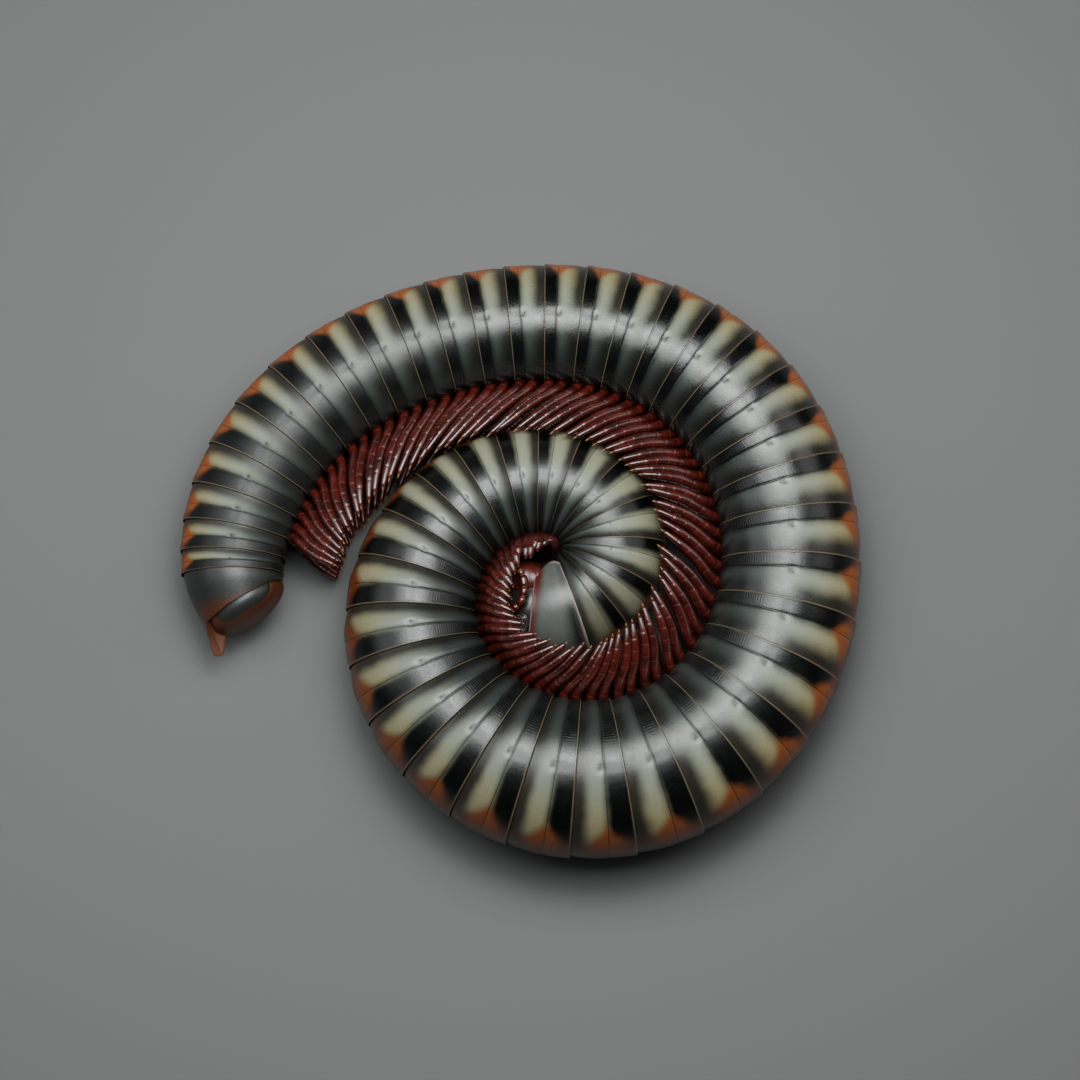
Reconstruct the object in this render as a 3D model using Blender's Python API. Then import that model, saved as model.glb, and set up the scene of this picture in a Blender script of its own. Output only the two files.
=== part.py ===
"""A giant millipede at rest, life size, coiled flat on its left side; metres, +Z up.

The trunk is a chain of rings. Each ring is an arc of the centreline with its own
length, turn and girth, read from a few stations along the body. Places on the animal
are given by s, d and z: s counts rings from the collum's rear margin, which is 1,
towards the tail, d points to the animal's back, out of the coil, and z points up, to
its right side. Sizes are in millimetres until a mesh is made.
"""

import math

import bmesh
import bpy
import numpy as np
from mathutils import Vector

MM = 0.001
GAP = 0.3

# The collum's rear margin: place of its middle, and the way to the tail in degrees.
START = (3.264, -2.7035)
START_HEADING = 20.5

# Ring number, ring length, turn of the ring in degrees, girth.
STATIONS = (
    (1, 1.52, 20.6, 6.75),
    (5, 1.60, 24.8, 7.05),
    (9, 1.82, 16.1, 7.20),
    (12, 2.12, 14.0, 7.85),
    (15, 2.52, 15.7, 8.70),
    (19, 2.73, 13.7, 9.90),
    (23, 3.10, 14.8, 9.80),
    (27, 2.94, 10.4, 9.05),
    (31, 2.42, 10.0, 8.90),
    (36, 2.28, 7.7, 8.00),
    (41, 2.26, 5.3, 7.75),
    (46, 2.40, 9.5, 7.45),
    (50, 1.15, 5.1, 6.60),
)
LAST_RING = 50

# A trunk length ends behind each of these rings.
LENGTH_ENDS = (8, 13, 17, 21, 25, 29, 33, 37, 41, 45, 50)

# Each ring: the front part slides into the ring ahead, so it is narrower.
SIDES = 16
MOST_OPENED = 0.6
FRONT_GIRTH = 0.94
STEP = 0.42
BELLY = 0.95
BELLY_FROM_PIVOT = 0.25

# Legs. The rings where the coil is tightest have one pair, the others two, and the last two rings none.
ONE_PAIR_UNTIL = 9
LAST_LEGGED_RING = 48
PAIR_PLACES = (-0.69, -0.31)
LEG_RADIUS = 0.34
LEG_SIDES = 4
LEG_STANCE = 0.14
FRONT_MARGIN = 0.32
REAR_MARGIN = 0.42
LEG_SINK = 0.7
MOST_SPREAD = 0.78
# Ring number, then where a tip lies from its root: past the belly, sideways, and in rings to the
# tail; the last number says how early the leg rises on its way.
LEG_STATIONS = (
    (2, 0.45, 2.0, 0.4, 2.2),
    (6, 0.6, 2.2, 0.5, 2.2),
    (9, 1.8, 2.8, 0.9, 3.4),
    (14, 2.4, 2.8, 1.1, 3.2),
    (17, 2.7, 2.5, 1.5, 2.2),
    (20, 3.0, 2.0, 1.8, 1.7),
    (26, 3.5, 1.7, 1.7, 1.7),
    (31, 3.5, 1.6, 2.1, 1.7),
    (38, 3.1, 1.6, 2.8, 1.7),
    (43, 3.4, 1.6, 2.3, 1.7),
    (48, 3.2, 1.6, 2.0, 1.7),
)
# Share of the leg's sweep and of its reach, then its thickness as a share of the root's.
LEG_SHAPE = ((0.06, 0.10, 1.0), (0.34, 0.42, 0.95), (0.70, 0.76, 0.75), (1.0, 1.0, 0.0))
LEG_SHRINKS = (1.0, 0.95, 0.9, 0.85, 0.8, 0.75, 0.7, 0.6, 0.5, 0.4, 0.3)
RINGS_BESIDE = 7

COLLUM_LENGTH = 1.9
COLLUM_TURN = 20.0
# Place s, then reach to the back and to the belly as shares of the radius.
COLLUM_SHAPE = ((0.0, 0.84, 0.54), (0.25, 0.94, 0.56), (0.6, 0.99, 0.58), (1.0, 1.0, 0.58))

HEAD_LENGTH = 2.3
# Middle and half sizes of the head and of an antenna's base and end: forward, to the back, sideways.
HEAD_BULKS = (
    ((0.5, -0.3, 0.0), (1.85, 2.80, 2.50)),
    ((1.70, 0.45, 2.15), (0.70, 0.45, 0.75)),
    ((0.95, -0.85, 2.85), (0.50, 1.45, 0.42)),
)

COLOURS = {
    "shell": (0.055, 0.045, 0.040),
    "collum": (0.16, 0.13, 0.14),
    "head": (0.12, 0.075, 0.06),
    "antenna": (0.16, 0.02, 0.015),
    "eye": (0.01, 0.01, 0.012),
    "tail": (0.07, 0.065, 0.065),
}


def material(name, roughness=0.3):
    """A plain finish in one of the animal's colours."""
    made = bpy.data.materials.get(name)
    if made is None:
        made = bpy.data.materials.new(name)
        made.use_nodes = True
        shader = made.node_tree.nodes["Principled BSDF"]
        shader.inputs["Base Color"].default_value = (*COLOURS[name], 1.0)
        shader.inputs["Roughness"].default_value = roughness
        shader.inputs["Metallic"].default_value = 0.0
    return made


def natural_spline(knots, values, at):
    """The value at one place of the smooth curve through the knots."""
    knots = np.asarray(knots, float)
    values = np.asarray(values, float)
    count = len(knots)
    steps = np.diff(knots)
    slopes = np.diff(values) / steps
    matrix = np.eye(count)
    right = np.zeros(count)
    for i in range(1, count - 1):
        matrix[i, i - 1 : i + 2] = (steps[i - 1], 2 * (steps[i - 1] + steps[i]), steps[i])
        right[i] = 6 * (slopes[i] - slopes[i - 1])
    bends = np.linalg.solve(matrix, right)
    i = int(np.clip(np.searchsorted(knots, at, side="right") - 1, 0, count - 2))
    t = at - knots[i]
    slope = slopes[i] - steps[i] * (2 * bends[i] + bends[i + 1]) / 6
    cubic = (bends[i + 1] - bends[i]) / (6 * steps[i])
    return float(values[i] + t * slope + t * t * bends[i] / 2 + t**3 * cubic)


def at_ring(ring, column):
    """A size from STATIONS, by its column, at a ring."""
    return natural_spline([row[0] for row in STATIONS], [row[column] for row in STATIONS], ring)


def leg_size(ring, column):
    """A size from LEG_STATIONS, by its column, at a ring."""
    return float(np.interp(ring, [row[0] for row in LEG_STATIONS], [row[column] for row in LEG_STATIONS]))


class Trunk:
    """The centreline of the coil and the sizes of its rings."""

    def __init__(self):
        self.length = [0.0, COLLUM_LENGTH]
        self.turn = [0.0, math.radians(COLLUM_TURN)]
        self.radius = [0.0, at_ring(1, 3) / 2]
        place = Vector(START)
        heading = math.radians(START_HEADING)
        self.margins = [None, (place, heading)]
        for ring in range(2, LAST_RING + 1):
            self.length.append(at_ring(ring, 1))
            self.turn.append(math.radians(at_ring(ring, 2)))
            self.radius.append(at_ring(ring, 3) / 2)
            place, heading = self.along(place, heading, ring, 1.0)
            self.margins.append((place, heading))

    def along(self, place, heading, ring, share):
        """Where a share of the ring's own arc leads from a place and heading."""
        bend = self.length[ring] / self.turn[ring]
        after = heading + self.turn[ring] * share
        step = Vector((math.sin(after) - math.sin(heading), math.cos(heading) - math.cos(after)))
        return place + bend * step, after

    def ring_of(self, s):
        """The ring that holds the place s."""
        return int(min(max(math.ceil(s - 1e-9), 1), LAST_RING))

    def pose(self, s):
        """The centreline's place and heading at s."""
        ring = self.ring_of(s)
        if ring == 1:
            return self.along(*self.margins[1], 1, s - 1)
        return self.along(*self.margins[ring - 1], ring, s - (ring - 1))

    def point(self, s, d, z):
        """A point of the animal at s, d towards its back and z above the floor."""
        place, heading = self.pose(s)
        back = Vector((math.sin(heading), -math.cos(heading)))
        return Vector((*(place + d * back), z))

    def pivot(self, ring):
        """How far the ring's centre of turning lies from the centreline."""
        return self.length[ring] / self.turn[ring]

    def belly(self, ring):
        """How far the flat belly lies from the centreline."""
        return min(BELLY * self.radius[ring], self.pivot(ring) - BELLY_FROM_PIVOT)

    def section(self, s, radius, height, belly):
        """The outline of the body at s: a circle with a flat belly and flats at its four sides."""
        outer = radius / math.cos(math.pi / SIDES)
        points = []
        for i in range(SIDES):
            angle = (i + 0.5) * 2 * math.pi / SIDES
            d = max(outer * math.cos(angle), -belly)
            points.append(self.point(s, d, height + outer * math.sin(angle)))
        return points

    def room(self, point, away_from, apart):
        """The distance from a point to the nearest other whorl's surface."""
        nearest = 1000.0
        for ring in range(1, LAST_RING + 1):
            if abs(ring - away_from) < apart:
                continue
            radius = self.radius[ring]
            for share in (0.25, 0.75):
                place, _ = self.pose(ring - share)
                across = (Vector(point[:2]) - place).length
                nearest = min(nearest, math.hypot(across, point[2] - radius) - radius)
        return nearest


def finished_object(name, mesh, finish):
    """An object from a closed bmesh, with its faces pointing out."""
    bmesh.ops.recalc_face_normals(mesh, faces=mesh.faces)
    data = bpy.data.meshes.new(name)
    mesh.to_mesh(data)
    mesh.free()
    data.materials.append(material(finish))
    made = bpy.data.objects.new(name, data)
    bpy.context.scene.collection.objects.link(made)
    return made


def loft(name, sections, finish, tip=None):
    """A closed solid through sections of equal count, flat at its ends or drawn to a tip."""
    count = len(sections[0])
    points = [point for section in sections for point in section]
    faces = []
    for row in range(len(sections) - 1):
        for i in range(count):
            a = row * count + i
            b = row * count + (i + 1) % count
            faces.append((a, b, b + count, a + count))
    faces.append(tuple(range(count)))
    last = (len(sections) - 1) * count
    if tip is None:
        faces.append(tuple(range(last, last + count)))
    else:
        points.append(tip)
        for i in range(count):
            faces.append((last + i, last + (i + 1) % count, len(points) - 1))
    mesh = bmesh.new()
    corners = [mesh.verts.new(Vector(point) * MM) for point in points]
    for face in faces:
        mesh.faces.new([corners[i] for i in face])
    return finished_object(name, mesh, finish)


def tube(name, path, radii, sides, finish, up=(0, 0, 1)):
    """A tapered tube along a path; a last radius of 0 draws it to a tip."""
    path = [Vector(point) for point in path]
    sections = []
    for i, point in enumerate(path):
        if radii[i] == 0:
            break
        ahead = (path[min(i + 1, len(path) - 1)] - path[max(i - 1, 0)]).normalized()
        side = ahead.cross(Vector(up)).normalized()
        top = side.cross(ahead)
        ring = []
        for k in range(sides):
            angle = (k + 0.5) * 2 * math.pi / sides
            ring.append(point + radii[i] * (math.cos(angle) * side + math.sin(angle) * top))
        sections.append(ring)
    return loft(name, sections, finish, path[-1] if radii[-1] == 0 else None)


def ellipsoid(name, place, semi_axes, axes, finish, around=12, up=7):
    """An egg-shaped solid; axes are its three directions."""
    axes = [Vector(axis).normalized() for axis in axes]
    place = Vector(place)
    mesh = bmesh.new()
    bmesh.ops.create_uvsphere(mesh, u_segments=around, v_segments=up, radius=1.0)
    for vert in mesh.verts:
        stretched = Vector()
        for share, size, axis in zip(vert.co, semi_axes, axes):
            stretched += share * size * axis
        vert.co = (place + stretched) * MM
    return finished_object(name, mesh, finish)


def delete(made):
    """Takes an object and its mesh out of the scene."""
    data = made.data
    bpy.data.objects.remove(made)
    bpy.data.meshes.remove(data)


def signed_volume(faces):
    """Six times the volume that triangulated faces close."""
    return sum(face.verts[0].co.cross(face.verts[1].co).dot(face.verts[2].co) for face in faces)


def keep_largest(made):
    """Keeps the largest closed surface of an object and drops the others."""
    mesh = bmesh.new()
    mesh.from_mesh(made.data)
    bmesh.ops.triangulate(mesh, faces=mesh.faces)
    unseen = set(mesh.faces)
    shells = []
    while unseen:
        front = [unseen.pop()]
        shell = list(front)
        while front:
            for edge in front.pop().edges:
                for face in edge.link_faces:
                    if face in unseen:
                        unseen.remove(face)
                        shell.append(face)
                        front.append(face)
        shells.append(shell)
    shells.sort(key=signed_volume, reverse=True)
    scraps = [face for shell in shells[1:] for face in shell]
    bmesh.ops.delete(mesh, geom=scraps, context="FACES")
    mesh.to_mesh(made.data)
    mesh.free()


def combine(made, others, operation="UNION"):
    """Applies one Boolean of an object with a list of others, which are then removed."""
    group = bpy.data.collections.new("pieces")
    bpy.context.scene.collection.children.link(group)
    for other in others:
        bpy.context.scene.collection.objects.unlink(other)
        group.objects.link(other)
    boolean = made.modifiers.new("join", "BOOLEAN")
    boolean.operation = operation
    boolean.solver = "EXACT"
    boolean.operand_type = "COLLECTION"
    boolean.collection = group
    graph = bpy.context.evaluated_depsgraph_get()
    result = bpy.data.meshes.new_from_object(made.evaluated_get(graph))
    made.modifiers.clear()
    old = made.data
    made.data = result
    bpy.data.meshes.remove(old)
    result.name = made.name
    for other in list(group.objects):
        delete(other)
    bpy.data.collections.remove(group)
    keep_largest(made)
    return made


def leg_places(first, last):
    """The places s of the legs of a trunk length, spread so that its ends stay free."""
    last = min(last, LAST_LEGGED_RING)
    places = []
    for ring in range(first, last + 1):
        places += [ring - 0.5] if ring <= ONE_PAIR_UNTIL else [ring + place for place in PAIR_PLACES]
    low, high = first - 1 + FRONT_MARGIN, last - REAR_MARGIN
    spread = (high - low) / (places[-1] - places[0])
    return [low + (place - places[0]) * spread for place in places]


def leg_route(trunk, s, side, reach, spread, sweep, rise):
    """The points of a leg from inside the belly to its claw."""
    ring = trunk.ring_of(s)
    radius = trunk.radius[ring]
    belly = trunk.belly(ring)
    root = LEG_STANCE * radius
    route = [trunk.point(s, LEG_SINK - belly, radius + side * root)]
    for swept, reached, _ in LEG_SHAPE:
        risen = 1 - (1 - reached) ** rise
        out = radius + side * (root + risen * spread)
        route.append(trunk.point(s + swept * sweep, -belly - reached * reach, out))
    return route


def leg(trunk, s, side, head):
    """One leg, drawn in until it clears the other whorls and the head."""
    ring = trunk.ring_of(s)
    reach = leg_size(ring, 1)
    spread = min(leg_size(ring, 2), MOST_SPREAD * trunk.radius[ring])
    sweep = leg_size(ring, 3)
    rise = leg_size(ring, 4)
    radii = [LEG_RADIUS] + [LEG_RADIUS * row[-1] for row in LEG_SHAPE]
    for shrink in LEG_SHRINKS:
        route = leg_route(trunk, s, side, reach * shrink, spread, sweep, rise)
        rooms = []
        for i in range(1, len(route)):
            for point, radius in ((route[i], radii[i]), (route[i - 1].lerp(route[i], 0.5), radii[i - 1])):
                other = min(trunk.room(point, ring, RINGS_BESIDE), head.room(point))
                rooms.append(other - radius - GAP)
        if min(rooms) > 0:
            break
    return tube("leg", route, radii, LEG_SIDES, "shell")


def trunk_length(trunk, number, first, last, head):
    """A length of the trunk: its rings in one swept solid, with their legs fused on."""
    sections = []
    for ring in range(first, last + 1):
        radius = trunk.radius[ring]
        ahead = trunk.radius[ring - 1]
        belly = trunk.belly(ring)
        inner_belly = min(FRONT_GIRTH * trunk.belly(ring - 1), belly)
        sections.append(trunk.section(ring - 1, FRONT_GIRTH * ahead, ahead, inner_belly))
        sections.append(trunk.section(ring - 1 + STEP, radius, radius, belly))
        sections.append(trunk.section(ring, radius, radius, belly))
    opened = []
    for point, after in zip(sections[0], sections[1]):
        way = after - point
        _, heading = trunk.pose(first - 1)
        ahead = way.dot(Vector((math.cos(heading), math.sin(heading), 0)))
        opened.append(point + way * min(GAP / ahead, MOST_OPENED))
    sections[0] = opened
    body = loft(f"trunk_{number:02d}", sections, "shell")
    legs = []
    for s in leg_places(first, last):
        for side in (1, -1):
            legs.append(leg(trunk, s, side, head))
    return combine(body, legs)


def collum(trunk):
    """The first ring, a smooth shield behind the head."""
    radius = trunk.radius[1]
    sections = []
    for s, share, belly in COLLUM_SHAPE:
        sections.append(trunk.section(s, share * radius, radius, belly * radius))
    return loft("collum", sections, "collum")


class Head:
    """The head's own frame: f forward, d to the back, z to the right side, from its rear face."""

    # Distance forward, half width, reach to the crown and to the mouth.
    PROFILE = (
        (0.0, 2.15, 2.15, 2.0),
        (0.35, 2.42, 2.45, 2.4),
        (0.95, 2.40, 2.35, 2.65),
        (1.5, 2.10, 1.90, 2.65),
        (1.95, 1.50, 1.20, 2.30),
        (2.2, 0.80, 0.45, 1.70),
    )
    # The upper lip's outline: distance forward, to the back, and half width.
    LIP = ((1.6, -1.2, 0.9), (1.85, -1.8, 1.45), (1.75, -2.55, 1.35), (1.5, -2.9, 1.1))
    # The line of the mouth under it, from its middle to a cheek.
    MOUTH = ((1.62, -2.98, 0.0), (1.45, -2.88, 0.7), (1.15, -2.55, 1.25), (0.95, -2.35, 1.7))
    LINE_RADIUS = 0.13
    NOTCH_RADIUS = 0.28
    CHEEK = ((0.8, -1.7, 1.75), (0.75, 1.1, 0.75))
    UNDERLIP = ((0.85, -2.35, 0.0), (0.85, 0.7, 1.3))
    SOCKET = ((1.3, 0.3, 0.9, 0.55), (1.9, 0.4, 1.3, 0.42))
    EYE_PLACE = (1.0, 1.2, 1.72)
    EYE_SIZE = (0.55, 0.72, 0.34)
    EYE_FACING = (0.35, 0.45, 0.85)
    POCKET_ROOM = 0.2
    # An antenna's joints, from its socket to its end.
    ANTENNA = (
        (2.08, 0.45, 1.58),
        (2.05, 0.5, 2.1),
        (1.6, 0.45, 2.6),
        (1.12, 0.15, 2.88),
        (0.86, -0.4, 2.93),
        (0.82, -1.05, 2.88),
        (0.92, -1.6, 2.8),
        (1.1, -2.0, 2.7),
    )

    def __init__(self, trunk):
        place, heading = trunk.pose(0)
        self.forward = Vector((-math.cos(heading), -math.sin(heading), 0))
        self.back = Vector((math.sin(heading), -math.cos(heading), 0))
        self.up = Vector((0, 0, 1))
        self.origin = Vector((*place, trunk.radius[1])) + GAP * self.forward

    def point(self, f, d, z):
        """A point of this frame in the world."""
        return self.origin + f * self.forward + d * self.back + z * self.up

    def axes(self):
        """The frame's three directions."""
        return self.forward, self.back, self.up

    def room(self, point):
        """About how far a point lies outside the head and the antennae."""
        from_origin = point - self.origin
        f, d, z = (from_origin.dot(axis) for axis in self.axes())
        rooms = []
        for middle, size in HEAD_BULKS:
            away = Vector((f, d, abs(z))) - Vector(middle)
            share = Vector([part / half for part, half in zip(away, size)]).length
            rooms.append((share - 1) * min(size))
        return min(rooms)

    def skull(self):
        """The head's capsule, from its neck to its brow."""
        sections = []
        for f, half, crown, mouth in self.PROFILE:
            ring = []
            for i in range(SIDES):
                angle = (i + 0.5) * 2 * math.pi / SIDES
                across = crown if math.cos(angle) > 0 else mouth
                ring.append(self.point(f, across * math.cos(angle), half * math.sin(angle)))
            sections.append(ring)
        return loft("head", sections, "head", self.point(HEAD_LENGTH, -0.7, 0))

    def lip(self):
        """The broad upper lip."""
        outline = [(f, d, half * side) for side in (1, -1) for f, d, half in self.LIP[::side]]
        front = [self.point(f + 0.2, d, z) for f, d, z in outline]
        rear = [self.point(f - 0.5, d + 0.15, z) for f, d, z in outline]
        return loft("lip", [front, rear], "head")

    def bulge(self, name, middle, sizes, side):
        """A rounded swelling of the head, on its right side for 1 and its left for -1."""
        f, d, z = middle
        return ellipsoid(name, self.point(f, d, z * side), sizes, self.axes(), "head", 10, 6)

    def socket(self, side):
        """The raised cup that an antenna grows from."""
        path = [self.point(f, d, z * side) for f, d, z, _ in self.SOCKET]
        return tube("socket", path, [row[-1] for row in self.SOCKET], 8, "head")

    def mouth(self):
        """The groove between the upper lip and the plate under the mouth."""
        left = [(f, d, -z) for f, d, z in self.MOUTH[:0:-1]]
        path = [self.point(*place) for place in (*left, *self.MOUTH)]
        return tube("mouth", path, [self.LINE_RADIUS] * len(path), 4, "head")

    def notch(self):
        """The notch in the middle of the upper lip's edge."""
        edge = self.LIP[-1][1]
        path = [self.point(1.1, edge, 0), self.point(HEAD_LENGTH, edge, 0)]
        return tube("notch", path, (self.NOTCH_RADIUS, self.NOTCH_RADIUS), 6, "head")

    def eye(self, side, grow=0.0, name="eye"):
        """A low oval field of small lenses on the side of the head."""
        f, d, z = self.EYE_FACING
        out = (f * self.forward + d * self.back + z * side * self.up).normalized()
        along = (self.forward - self.forward.dot(out) * out).normalized()
        across = out.cross(along)
        f, d, z = self.EYE_PLACE
        sizes = [size + grow for size in self.EYE_SIZE]
        return ellipsoid(name, self.point(f, d, z * side), sizes, (along, across, out), "eye", 10, 6)

    def antenna(self, side, name):
        """Seven joints in a row, laid down over the side of the head."""
        path = []
        radii = []
        for a, b in zip(self.ANTENNA[:-1], self.ANTENNA[1:]):
            start = self.point(a[0], a[1], a[2] * side)
            end = self.point(b[0], b[1], b[2] * side)
            path += [start.lerp(end, 0.1), start.lerp(end, 0.75)]
            radii += [0.25, 0.31]
        f, d, z = self.ANTENNA[-1]
        path.append(self.point(f, d, z * side))
        radii.append(0.18)
        return tube(name, path, radii, 6, "antenna", self.forward + 0.3 * self.back)

    def build(self):
        """The head with its eyes and antennae."""
        pieces = [self.lip(), self.bulge("underlip", *self.UNDERLIP, 1)]
        pieces += [self.bulge("cheek", *self.CHEEK, side) for side in (1, -1)]
        pieces += [self.socket(side) for side in (1, -1)]
        head = combine(self.skull(), pieces)
        cuts = [self.eye(side, self.POCKET_ROOM, "pocket") for side in (1, -1)]
        combine(head, [*cuts, self.mouth(), self.notch()], "DIFFERENCE")
        for side, word in ((1, "right"), (-1, "left")):
            self.eye(side, 0.0, f"eye_{word}")
            self.antenna(side, f"antenna_{word}")


class Tail:
    """The tail's frame: t past the last ring, d to the back, z to the right side."""

    # The valves: tilt, middle, lift off the ring, gap from the midline, and half sizes and bulge in radii.
    VALVE_TILT = math.radians(35)
    VALVE_MIDDLE = (1.9, -0.24)
    VALVE_LIFT = 0.42
    VALVE_GAP = 0.15
    VALVE_SIZES = (0.74, 0.76, 0.42)
    # Distance of the back and of the belly past the last ring, and their places, and half width.
    PROFILE = (
        (0.3, 0.96, 0.3, -0.93, 0.96),
        (1.2, 0.93, 0.36, -0.95, 0.94),
        (2.4, 0.80, 0.42, -0.95, 0.90),
        (3.2, 0.62, 0.50, -0.93, 0.86),
    )
    # The horn's line: distance past the last ring, reach to the back as a share of the radius, thickness.
    HORN = ((1.6, 0.35, 1.0), (3.1, 0.50, 0.85), (4.1, 0.40, 0.5), (4.95, 0.26, 0.16))
    VALVE_ROWS = 5
    VALVE_COLUMNS = 8

    def __init__(self, trunk):
        place, heading = trunk.pose(LAST_RING)
        self.radius = trunk.radius[LAST_RING]
        self.away = Vector((math.cos(heading), math.sin(heading), 0))
        self.back = Vector((math.sin(heading), -math.cos(heading), 0))
        self.up = Vector((0, 0, 1))
        self.origin = Vector((*place, self.radius))

    def point(self, t, d, z):
        """A point of this frame in the world."""
        return self.origin + t * self.away + d * self.back + z * self.up

    def ring(self):
        """The ring before the valves, cut on a slant, with the horn over the tail's end."""
        r = self.radius
        sections = []
        for back_t, back_d, belly_t, belly_d, half in self.PROFILE:
            section = []
            for i in range(SIDES):
                angle = (i + 0.5) * 2 * math.pi / SIDES
                share = (1 + math.cos(angle)) / 2
                t = belly_t + (back_t - belly_t) * share
                d = (belly_d + (back_d - belly_d) * share) * r
                section.append(self.point(t, d, half * r * math.sin(angle)))
            sections.append(section)
        made = loft("preanal_ring", sections, "tail")
        path = [self.point(t, d * r, 0) for t, d, _ in self.HORN]
        horn = tube("horn", path, [thickness for _, _, thickness in self.HORN], 8, "tail")
        combine(made, [horn])

    def valve(self, side, name):
        """Half of the pair of bulging plates that close the gut."""
        r = self.radius
        tilt = self.VALVE_TILT
        out = (self.away * math.cos(tilt) - self.back * math.sin(tilt)).normalized()
        along = (self.back * math.cos(tilt) + self.away * math.sin(tilt)).normalized()
        t, d = self.VALVE_MIDDLE
        centre = self.point(t, d * r, self.VALVE_GAP * side) + self.VALVE_LIFT * out
        half_long, half_wide, bulge = (share * r for share in self.VALVE_SIZES)
        sections = []
        for row in range(self.VALVE_ROWS):
            lift = math.sin(row / self.VALVE_ROWS * math.pi / 2)
            size = math.cos(row / self.VALVE_ROWS * math.pi / 2)
            section = []
            for i in range(self.VALVE_COLUMNS):
                angle = i * math.pi / (self.VALVE_COLUMNS - 1)
                x = half_long * size * math.cos(angle)
                y = half_wide * size * math.sin(angle) * side
                section.append(centre + x * along + y * self.up + lift * bulge * out)
            sections.append(section)
        loft(name, sections, "tail", centre + bulge * out)


def main():
    """The whole animal, from its head to its tail."""
    for old in list(bpy.data.objects):
        bpy.data.objects.remove(old)
    trunk = Trunk()
    head = Head(trunk)
    head.build()
    collum(trunk)
    first = 2
    for number, last in enumerate(LENGTH_ENDS, 1):
        trunk_length(trunk, number, first, last, head)
        first = last + 1
    tail = Tail(trunk)
    tail.ring()
    tail.valve(1, "anal_valve_right")
    tail.valve(-1, "anal_valve_left")


main()
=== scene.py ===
"""A giant millipede coiled flat on its left side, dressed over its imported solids.

Places on the animal are given by s, d and z. s counts rings from the front of the collum, which
ends at 1, towards the tail. d points to the animal's back, out of the coil, and z points up, to
its right side. Sizes are in millimetres and angles in degrees, unless a name says otherwise, until
a mesh is made in metres.
"""

import enum
import logging
import math
from collections.abc import Callable, Sequence
from dataclasses import dataclass, field
from typing import NamedTuple

import bmesh
import bpy
import numpy as np
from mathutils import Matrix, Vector


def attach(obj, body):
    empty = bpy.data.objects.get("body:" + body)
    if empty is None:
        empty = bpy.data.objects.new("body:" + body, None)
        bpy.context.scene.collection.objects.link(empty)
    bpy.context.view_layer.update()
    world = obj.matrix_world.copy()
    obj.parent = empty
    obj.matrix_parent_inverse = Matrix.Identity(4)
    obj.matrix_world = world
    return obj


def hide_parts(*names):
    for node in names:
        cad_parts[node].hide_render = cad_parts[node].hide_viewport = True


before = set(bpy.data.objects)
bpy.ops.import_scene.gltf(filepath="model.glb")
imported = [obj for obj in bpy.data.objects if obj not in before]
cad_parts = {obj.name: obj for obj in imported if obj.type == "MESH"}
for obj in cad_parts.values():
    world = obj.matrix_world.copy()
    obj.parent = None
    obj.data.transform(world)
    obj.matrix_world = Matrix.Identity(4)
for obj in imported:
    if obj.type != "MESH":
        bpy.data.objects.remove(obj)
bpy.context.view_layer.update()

LOG = logging.getLogger("millipede")
MM = 0.001
BODY = "root"
Array = np.ndarray
Colour = tuple[float, float, float]


class Side(enum.IntEnum):
    """The animal's two sides; the number says which way a side lies in z from the middle."""

    RIGHT = 1
    LEFT = -1


class Wire:
    """A node's output that sums and products can be written with; each sign adds a Math node."""

    def __init__(self, tree: bpy.types.NodeTree, socket: bpy.types.NodeSocket) -> None:
        """Keeps the output and the tree that it is in.

        Args:
            tree: the node tree.
            socket: the output.
        """
        self.tree = tree
        self.socket = socket

    def math(self, operation: str, *others: "Wire | float") -> "Wire":
        """Puts this and other numbers through a Math node.

        Args:
            operation: the node's operation.
            others: the node's other numbers.

        Returns:
            The result.
        """
        node = self.tree.nodes.new("ShaderNodeMath")
        node.operation = operation
        for slot, value in zip(node.inputs, (self, *others)):
            plug(self.tree, value, slot)
        return Wire(self.tree, node.outputs[0])

    def __add__(self, other: "Wire | float") -> "Wire":
        """Sum."""
        return self.math("ADD", other)

    def __radd__(self, other: float) -> "Wire":
        """Sum, with a plain number first."""
        return self.math("ADD", other)

    def __sub__(self, other: "Wire | float") -> "Wire":
        """Difference."""
        return self.math("SUBTRACT", other)

    def __rsub__(self, other: float) -> "Wire":
        """Difference from a plain number."""
        return self.math("MULTIPLY_ADD", -1.0, other)

    def __mul__(self, other: "Wire | float") -> "Wire":
        """Product."""
        return self.math("MULTIPLY", other)

    def __rmul__(self, other: float) -> "Wire":
        """Product, with a plain number first."""
        return self.math("MULTIPLY", other)

    def smooth(self, low: "Wire | float", high: "Wire | float") -> "Wire":
        """A soft step from 0 at low to 1 at high.

        Args:
            low: where the step starts.
            high: where it ends.

        Returns:
            The step.
        """
        node = self.tree.nodes.new("ShaderNodeMapRange")
        node.interpolation_type = "SMOOTHSTEP"
        for slot, value in zip(node.inputs, (self, low, high)):
            plug(self.tree, value, slot)
        return Wire(self.tree, node.outputs[0])

    def band(self, middle: "Wire | float", half: float, soft: float) -> "Wire":
        """A soft band that is 1 within half of its middle and 0 past half plus soft.

        Args:
            middle: the band's middle.
            half: half its full width.
            soft: the width of each soft edge.

        Returns:
            The band.
        """
        return 1.0 - (self - middle).math("ABSOLUTE").smooth(half, half + soft)


def plug(tree: bpy.types.NodeTree, value: "Wire | object", socket: bpy.types.NodeSocket) -> None:
    """Links a wire to a node's input, or sets a plain value there.

    Args:
        tree: the node tree.
        value: the wire or value.
        socket: the input.
    """
    if isinstance(value, Wire):
        tree.links.new(value.socket, socket)
    elif isinstance(value, tuple) and len(value) == 3 and socket.type == "RGBA":
        socket.default_value = (*value, 1.0)
    else:
        socket.default_value = value


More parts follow.
